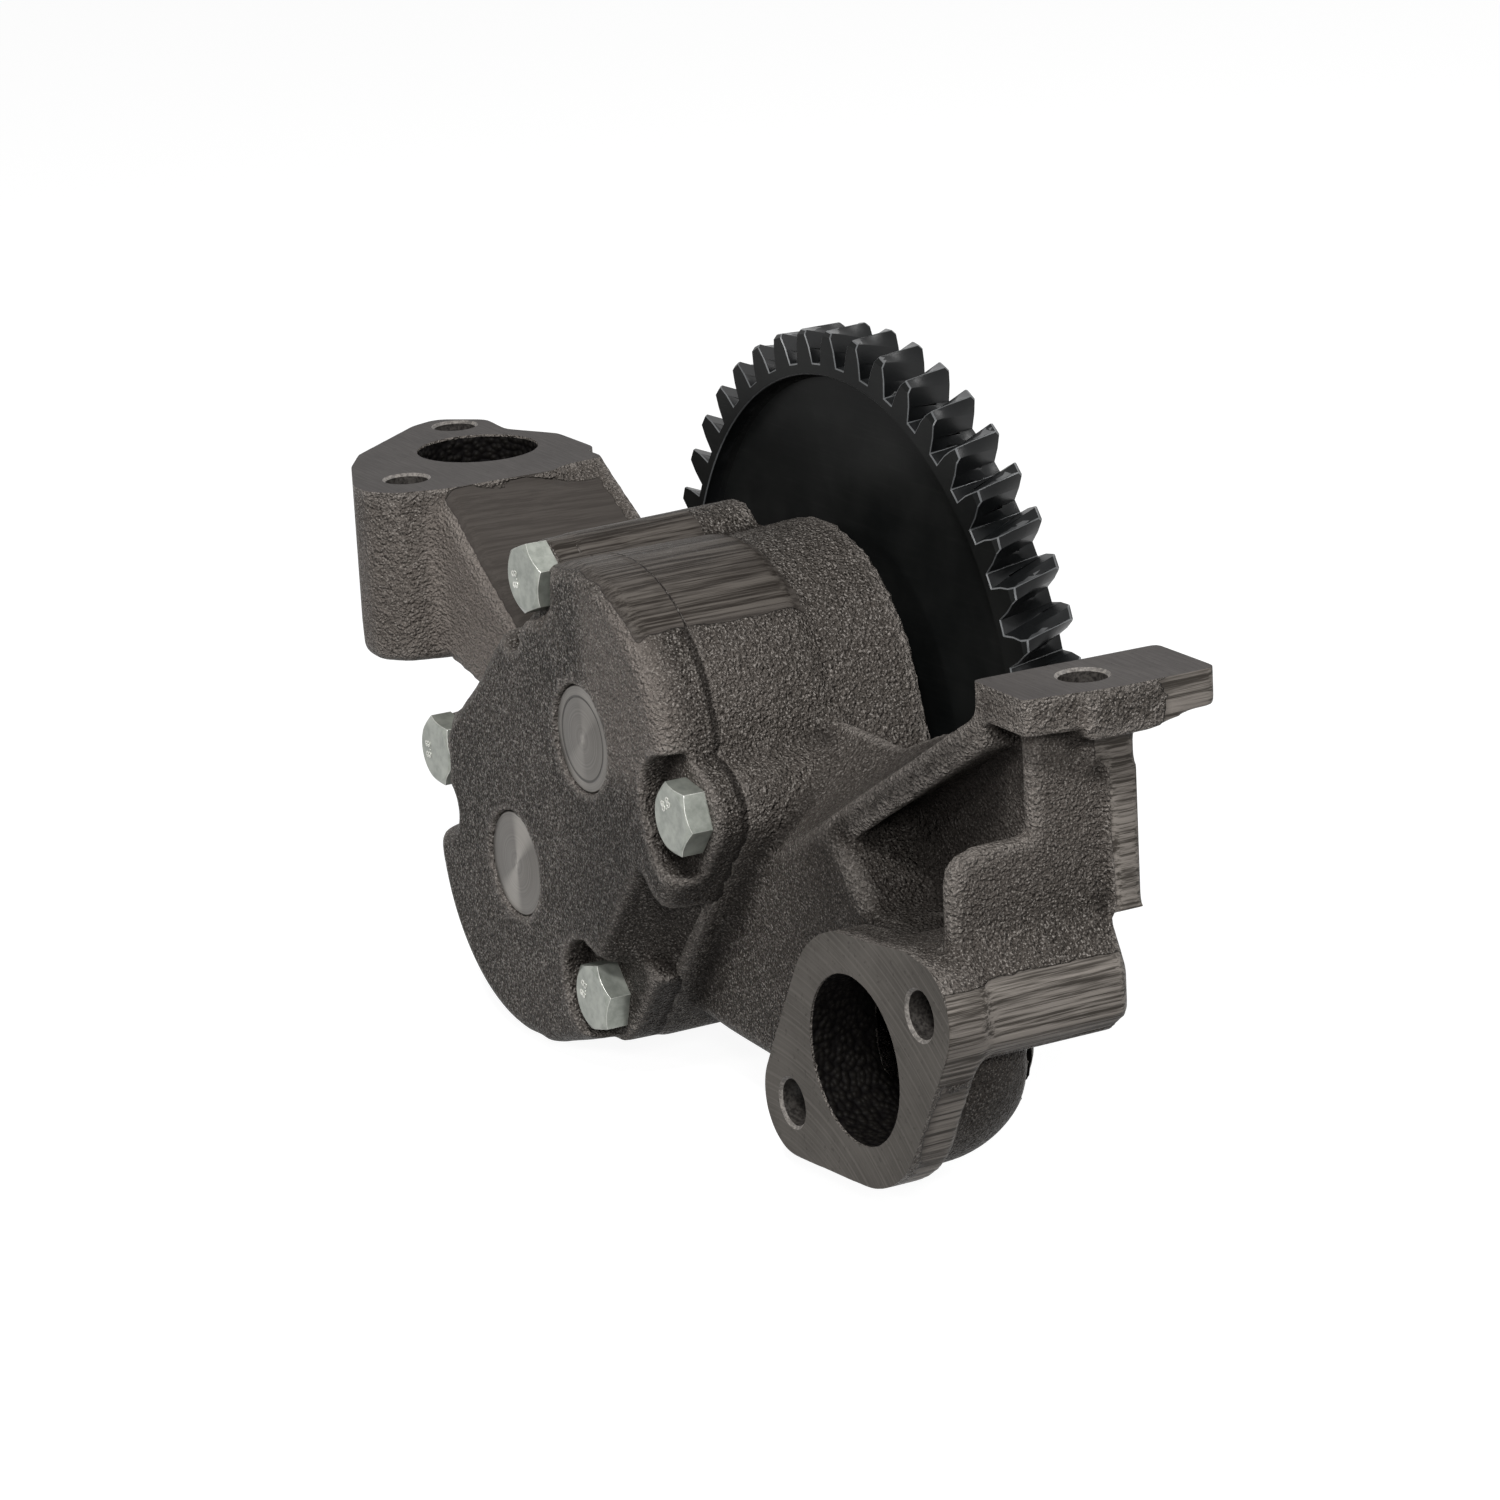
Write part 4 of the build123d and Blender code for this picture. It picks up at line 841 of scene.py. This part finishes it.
def paint_ground(piece, boxes):
    places, normals = points_of(piece)
    ground = np.zeros(len(places))
    side = np.zeros(len(places))
    streaky = np.zeros(len(places))
    for low, high, out in boxes:
        share = inside_box(places, low, high) * ramp(normals @ np.array(out), 0.55, 0.75)
        ground = np.maximum(ground, share)
        # Patches that face the side are marked so that the skin paints them lighter, as painted
        # light.
        if out[0] > 0.8:
            side = np.maximum(side, share)
        streaky = np.maximum(streaky, share * (WEB_STREAKS if out == WEB_OUT else 1.0))
    paint(piece, "ground", ground)
    paint(piece, "side", side)
    paint(piece, "streaky", streaky)
    print(piece.name, "ground share:", round(float(ground.mean()), 3))


paint_ground(housing, [
    BODY_PATCH,
    (at(-95, 19, -5), at(-42, 56, 31), WEB_OUT),
    (at(116, 5, -39), at(128, 60, -20.5), RAIL_OUT),
    (at(119, 44, -16), at(124, 56, 22), POST_OUT),
    (at(120, 56, 20), at(128, 70, 31), (1, 0, 0)),
    (at(96, 8.5, -66), at(120, 16, -30), (0.9, 0, -0.45)),
])

# %% [markdown]
# Some sides of the casting get painted light and the pockets painted shade.
# A shade is a box with an amount and, if it only covers one side, a direction.

# %% Painted light and shade
WIDE_EDGE = 14.0
NARROW_EDGE = 4.0


def paint_light_and_shade(piece, painted_light_boxes, painted_shade_boxes):
    places, normals = points_of(piece)
    for name, boxes in (("pale", painted_light_boxes), ("dark", painted_shade_boxes)):
        share = np.zeros(len(places))
        for low, high, amount, *out in boxes:
            here = amount * inside_box(places, low, high, NARROW_EDGE if out else WIDE_EDGE)
            if out:
                here *= ramp(normals @ np.array(out[0]), 0.45, 0.75)
            share = np.maximum(share, here)
        paint(piece, name, share)
        print(piece.name, name, "share:", round(float(share.mean()), 3))


# Painted light on the discharge block, the pad, the body side and the rail; painted shade in the
# pockets round the arm and the elbow.
paint_light_and_shade(housing, [
    (at(-170, -10, -60), at(-78, 60, 31), 0.42),
    (at(100, 8, -10), at(130, 70, 31), 0.22),
    (at(22, 12, -20), at(66, 60, 24), 0.16),
    (at(96, 8, -38), at(130, 34, 8), 0.12),
    (at(-104, 9, -14), at(-42, 24, 28), 0.75, (0.4, -0.75, 0.5)),
    (at(100, 26, 20), at(130, 70, 29), 0.34, (0.5, -0.85, 0)),
], [
    (at(56, 12, -34), at(108, 50, -4), 0.75),
    (at(66, 16, -75), at(130, 70, -38), 0.70),
    (at(60, 20, -4), at(106, 60, 26), 0.6),
    (at(56, 9, -14), at(103, 55, 25), 0.7, (0.2, -0.95, -0.22)),
])
paint_ridges(housing, 0.018, 0.095)
pick(housing)
bpy.ops.object.shade_smooth_by_angle(angle=radians(40))
stands_for(housing, "pump_housing", "pump_body")
print("Housing faces:", len(housing.data.polygons))

# %% [markdown]
# The cover is cast the same way. Two prisms first take the metal off between
# the two lower right bolts, where the real cover slopes back.

# %% Rough cover
SLOPE_START = at(0.2, -1, -47.0)
SLOPE_RUN = at(21.4, -1, -21.4) - SLOPE_START
ACROSS = Vector((-SLOPE_RUN.z, 0, SLOPE_RUN.x)).normalized() * -1
STEEP = ((-1.2, 0), (-0.4, 1.0), (4.5, 6.9), (16, 6.9), (16, 0))
SLOPING = ((1.0, 0), (1.0, 3.4), (4.0, 6.9), (10.5, 12.6), (16, 13.2), (16, 0))
cover = copy_of("pump_cover", "cast_cover")
leave_stock(cover, at(0, JOINT_Y, 0), -FRONT, STOCK)
for share, outline in ((0.0, STEEP), (0.27, SLOPING)):
    corners = [SLOPE_START + SLOPE_RUN * share + ACROSS * over * MM + Vector((0, deep * MM, 0))
               for over, deep in outline]
    carve(cover, corners, SLOPE_RUN * (1 - share))
cast(cover, 0.7, 5, 110000, [(at(1, -2, -60), at(46, 12, -19))], 22, True)

# %% [markdown]
# Its joint face is milled and its rim gets a small bevel, so that the joint
# shows as a fine dark line round the pump. The rim is found by counting: one
# of the two faces beside each of its edges is on the flat.

# %% Joint face of the cover
RIM_BEVEL = 0.22
joint = at(0, JOINT_Y, 0)
mill(cover, joint, -FRONT, EVERYWHERE)
nothing_selected(cover)
bpy.context.tool_settings.mesh_select_mode = (False, True, False)
flat = {face.index for face in cover.data.polygons if face.normal.y > 0.999}
owners = {}
for face in cover.data.polygons:
    for key in face.edge_keys:
        owners.setdefault(key, []).append(face.index in flat)
for edge in cover.data.edges:
    level = cover.data.vertices[edge.vertices[0]].co.y
    edge.select = sum(owners[edge.key]) == 1 and abs(level - joint.y) < 0.00002
print("Rim edges:", sum(edge.select for edge in cover.data.edges))
bpy.ops.object.mode_set(mode="EDIT")
bpy.ops.mesh.bevel(offset=RIM_BEVEL * MM, segments=1)
bpy.ops.object.mode_set(mode="OBJECT")
bpy.context.tool_settings.mesh_select_mode = (False, False, True)

# %% [markdown]
# The cover shares the ground patch on top of the body. Its upper rim gets a
# painted highlight and the slope a painted shade.

# %% Finish of the cover
cover.data.materials.append(cast_skin)
paint_ground(cover, [BODY_PATCH])
# Painted highlight on the upper rim, painted shade on the slope between the lower bolts.
paint_light_and_shade(cover, [
    (at(4, -2, -4), at(40, 4, 30), 0.6, (0.6, -0.7, 0.35)),
    (at(-40, -2, 20), at(-8, 4, 32), 0.35, (0, -0.6, 0.8)),
], [
    (at(0, -2, -60), at(50, 14, -12), 0.7),
])
paint_ridges(cover, 0.035, 0.13)
pick(cover)
bpy.ops.object.shade_smooth_by_angle(angle=radians(40))
stands_for(cover, "pump_cover", "pump_body")
print("Cover faces:", len(cover.data.polygons))

# %% [markdown]
# A cut gear has crisp teeth whose edges were broken with a file. Flat faces
# are merged first, then a bevel breaks every edge sharper than a limit and
# gives it the bare edge material, lighter partly as a painted highlight.
# Faces below the teeth keep the black of the web, and the lands that face up
# get the lightest colour, a painted reflection of the light above.

# %% Gear and shafts
def break_edges(node, name, width, faces, edges, clamp=True, limit=30):
    piece = copy_of(node, name)
    bpy.ops.object.mode_set(mode="EDIT")
    bpy.ops.mesh.select_all(action="SELECT")
    bpy.ops.mesh.dissolve_limited(angle_limit=radians(0.5))
    bpy.ops.object.mode_set(mode="OBJECT")
    piece.data.materials.append(faces)
    piece.data.materials.append(edges)
    apply(piece, "BEVEL", width=width * MM, segments=1, limit_method="ANGLE",
          angle_limit=radians(limit), material=1, use_clamp_overlap=clamp)
    bpy.ops.object.shade_smooth_by_angle(angle=radians(16))
    print(name, "faces:", len(piece.data.polygons))
    return piece


TOOTH_ROOM = 0.0095
LAND_ROOM = 0.0006
gear = break_edges("drive_gear", "cut_drive_gear", 0.22, gear_black, tooth_edge,
                   clamp=False, limit=50)
gear.data.materials.append(tooth_black)
gear.data.materials.append(tooth_land)
low_corner, high_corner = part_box("drive_gear")
reach = (high_corner[2] - low_corner[2]) / 2
for face in gear.data.polygons:
    away = face.center - DRIVE
    radius = (away.x ** 2 + away.z ** 2) ** 0.5
    if radius < reach - TOOTH_ROOM:
        face.material_index = 0
    elif face.material_index == 0 and abs(face.normal.y) < 0.7:
        # Lands facing up get the lighter land colour, a painted reflection.
        on_top = radius > reach - LAND_ROOM and face.normal.z > 0.9
        face.material_index = 3 if on_top else 2
stands_for(gear, "drive_gear", "drive_rotor")
drive_shaft = break_edges("drive_shaft", "turned_drive_shaft", 0.4, drive_end, zinc_edge)
stands_for(drive_shaft, "drive_shaft", "drive_rotor")
idler_shaft = break_edges("idler_shaft", "turned_idler_shaft", 0.25, idler_end, zinc_edge)
stands_for(idler_shaft, "idler_shaft", "idler_rotor")

# %% [markdown]
# The bolt heads get bright broken edges, partly a painted highlight, and the
# usual raised strength number of a hexagon bolt, made as text and joined to
# the head. Each bolt stopped at its own turn when it was tightened, and its
# number turns with it.

# %% Cover bolts
BOLTS = {"cover_bolt_1": (-22.5, 28.0, 100), "cover_bolt_2": (-69.0, -18.4, 95),
         "cover_bolt_3": (35.4, -8.1, 30), "cover_bolt_4": (-3.4, -54.9, 70)}
HEAD_FACE_Y = 0.75
NUMBER_OFFSET = 3.1
NUMBER_SIZE = 3.2
NUMBER_RAISED = 0.16
for node, (x, z, degrees) in BOLTS.items():
    bolt = break_edges(node, node + "_plated", 0.16, zinc, zinc_edge)
    beside = radians(degrees + 90)
    towards = Vector((cos(beside), 0, sin(beside)))
    place = at(x, HEAD_FACE_Y, z) + towards * NUMBER_OFFSET * MM
    bpy.ops.object.text_add(location=place)
    number = bpy.context.active_object
    number.data.body = "8.8"
    number.data.size = NUMBER_SIZE * MM
    number.data.align_x = "CENTER"
    number.data.align_y = "CENTER"
    number.data.extrude = NUMBER_RAISED * MM
    number.data.resolution_u = 3
    upright = Matrix.Rotation(pi / 2, 3, "X")
    number.rotation_euler = (Matrix.Rotation(-radians(degrees), 3, "Y") @ upright).to_euler()
    bpy.ops.object.convert(target="MESH")
    number = bpy.context.active_object
    number.data.materials.clear()
    number.data.materials.append(zinc_edge)
    pick(bolt)
    number.select_set(True)
    bpy.ops.object.join()
    stands_for(bolt, node, "pump_body")

# %% [markdown]
# The relief spring stands between the moving piston and the fixed plug. A
# copy with the spring wire finish takes the place of the CAD spring.

# %% Relief spring
spring = copy_of("relief_spring", "coiled_relief_spring")
spring.data.materials.append(spring_wire)
bpy.ops.object.shade_smooth_by_angle(angle=radians(40))
low_corner, high_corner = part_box("relief_spring")
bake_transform(spring)
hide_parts("relief_spring")
print("Spring length in mm:", round((high_corner[2] - low_corner[2]) / MM, 1))

# %% [markdown]
# The remaining pieces keep their CAD meshes and only get a finish.

# %% Finishes of the other pieces
FINISHES = (
    (bright_steel, ("pump_gear_driving", "pump_gear_driven", "pump_gear_key", "drive_gear_key",
                    "dowel_pin_1", "dowel_pin_2", "relief_piston")),
    (zinc, ("gear_washer", "gear_nut", "relief_plug")),
    (bronze, ("drive_bush", "idler_bush")),
)
for finish, nodes in FINISHES:
    for node in nodes:
        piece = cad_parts[node]
        piece.data.materials.clear()
        piece.data.materials.append(finish)
    print(finish.name, "on", ", ".join(nodes))

# %% [markdown]
# The pump stands on a pale floor that turns pure white for the camera but
# keeps a faint shadow, like a product picture on paper. Light Path tells
# which rays come from the camera or from a reflection, and only those see
# the extra white.

# %% Floor and background
FLOOR_GAP = 0.0005


def seen_directly(tree):
    # 1 for camera, reflection and refraction rays, 0 for the light that falls on things
    ray = tree.nodes.new("ShaderNodeLightPath")
    together = ray.outputs["Is Camera Ray"]
    for kind in ("Is Glossy Ray", "Is Transmission Ray"):
        larger = tree.nodes.new("ShaderNodeMath")
        larger.operation = "MAXIMUM"
        tree.links.new(together, larger.inputs[0])
        tree.links.new(ray.outputs[kind], larger.inputs[1])
        together = larger.outputs[0]
    return together


lowest = first_size[0][2]
bpy.ops.mesh.primitive_plane_add(size=40, location=(0.1, 0, lowest - FLOOR_GAP))
floor = bpy.context.active_object
floor.name = "floor"
paper = Finish("paper", Roughness=0.95, Emission_Strength=1.0, Specular_IOR_Level=0.0,
               Base_Color=(0.25, 0.25, 0.25, 1))
direct = Value(paper, seen_directly(paper.material.node_tree))
paper.wear(Emission_Color=paper.mix(direct, (0, 0, 0), (0.93, 0.93, 0.93)))
floor.data.materials.append(paper.material)

world = bpy.context.scene.world or bpy.data.worlds.new("world")
bpy.context.scene.world = world
world.use_nodes = True
sky = world.node_tree
level = sky.nodes.new("ShaderNodeMapRange")
sky.links.new(seen_directly(sky), level.inputs["Value"])
level.inputs["To Min"].default_value = 0.03
level.inputs["To Max"].default_value = 1.0
sky.nodes["Background"].inputs["Color"].default_value = (1, 1, 1, 1)
sky.links.new(level.outputs[0], sky.nodes["Background"].inputs["Strength"])
print("Floor height in mm:", round(floor.location.z / MM, 1))

# %% [markdown]
# Five soft square lamps aim at the middle of the pump. The key light stands
# high at the front, two weaker ones fill the right side, one the front and
# one the back. Each has a place and a size in metres and a power in watts.

# %% Lights
AIM = Vector((0.09, 0.0, -0.04))
LAMPS = {
    "key_light": ((0.75, -0.55, 1.1), 0.22, 12.5),
    "side_light": ((1.25, -0.55, 0.5), 0.22, 6),
    "right_light": ((1.3, 0.15, 0.45), 0.20, 2.5),
    "front_light": ((0.3, -1.2, 0.5), 0.22, 3.5),
    "rear_light": ((0.3, 0.9, 0.9), 0.30, 4),
}
for name, (place, size, power) in LAMPS.items():
    bpy.ops.object.light_add(type="AREA", location=place)
    lamp = bpy.context.active_object
    lamp.name = name
    lamp.data.shape = "SQUARE"
    lamp.data.size = size
    lamp.data.energy = power
    lamp.rotation_euler = (AIM - Vector(place)).to_track_quat("-Z", "Y").to_euler()
print("Lamps:", ", ".join(LAMPS))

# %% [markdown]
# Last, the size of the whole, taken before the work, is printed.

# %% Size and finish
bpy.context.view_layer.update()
print("First size:", first_size)
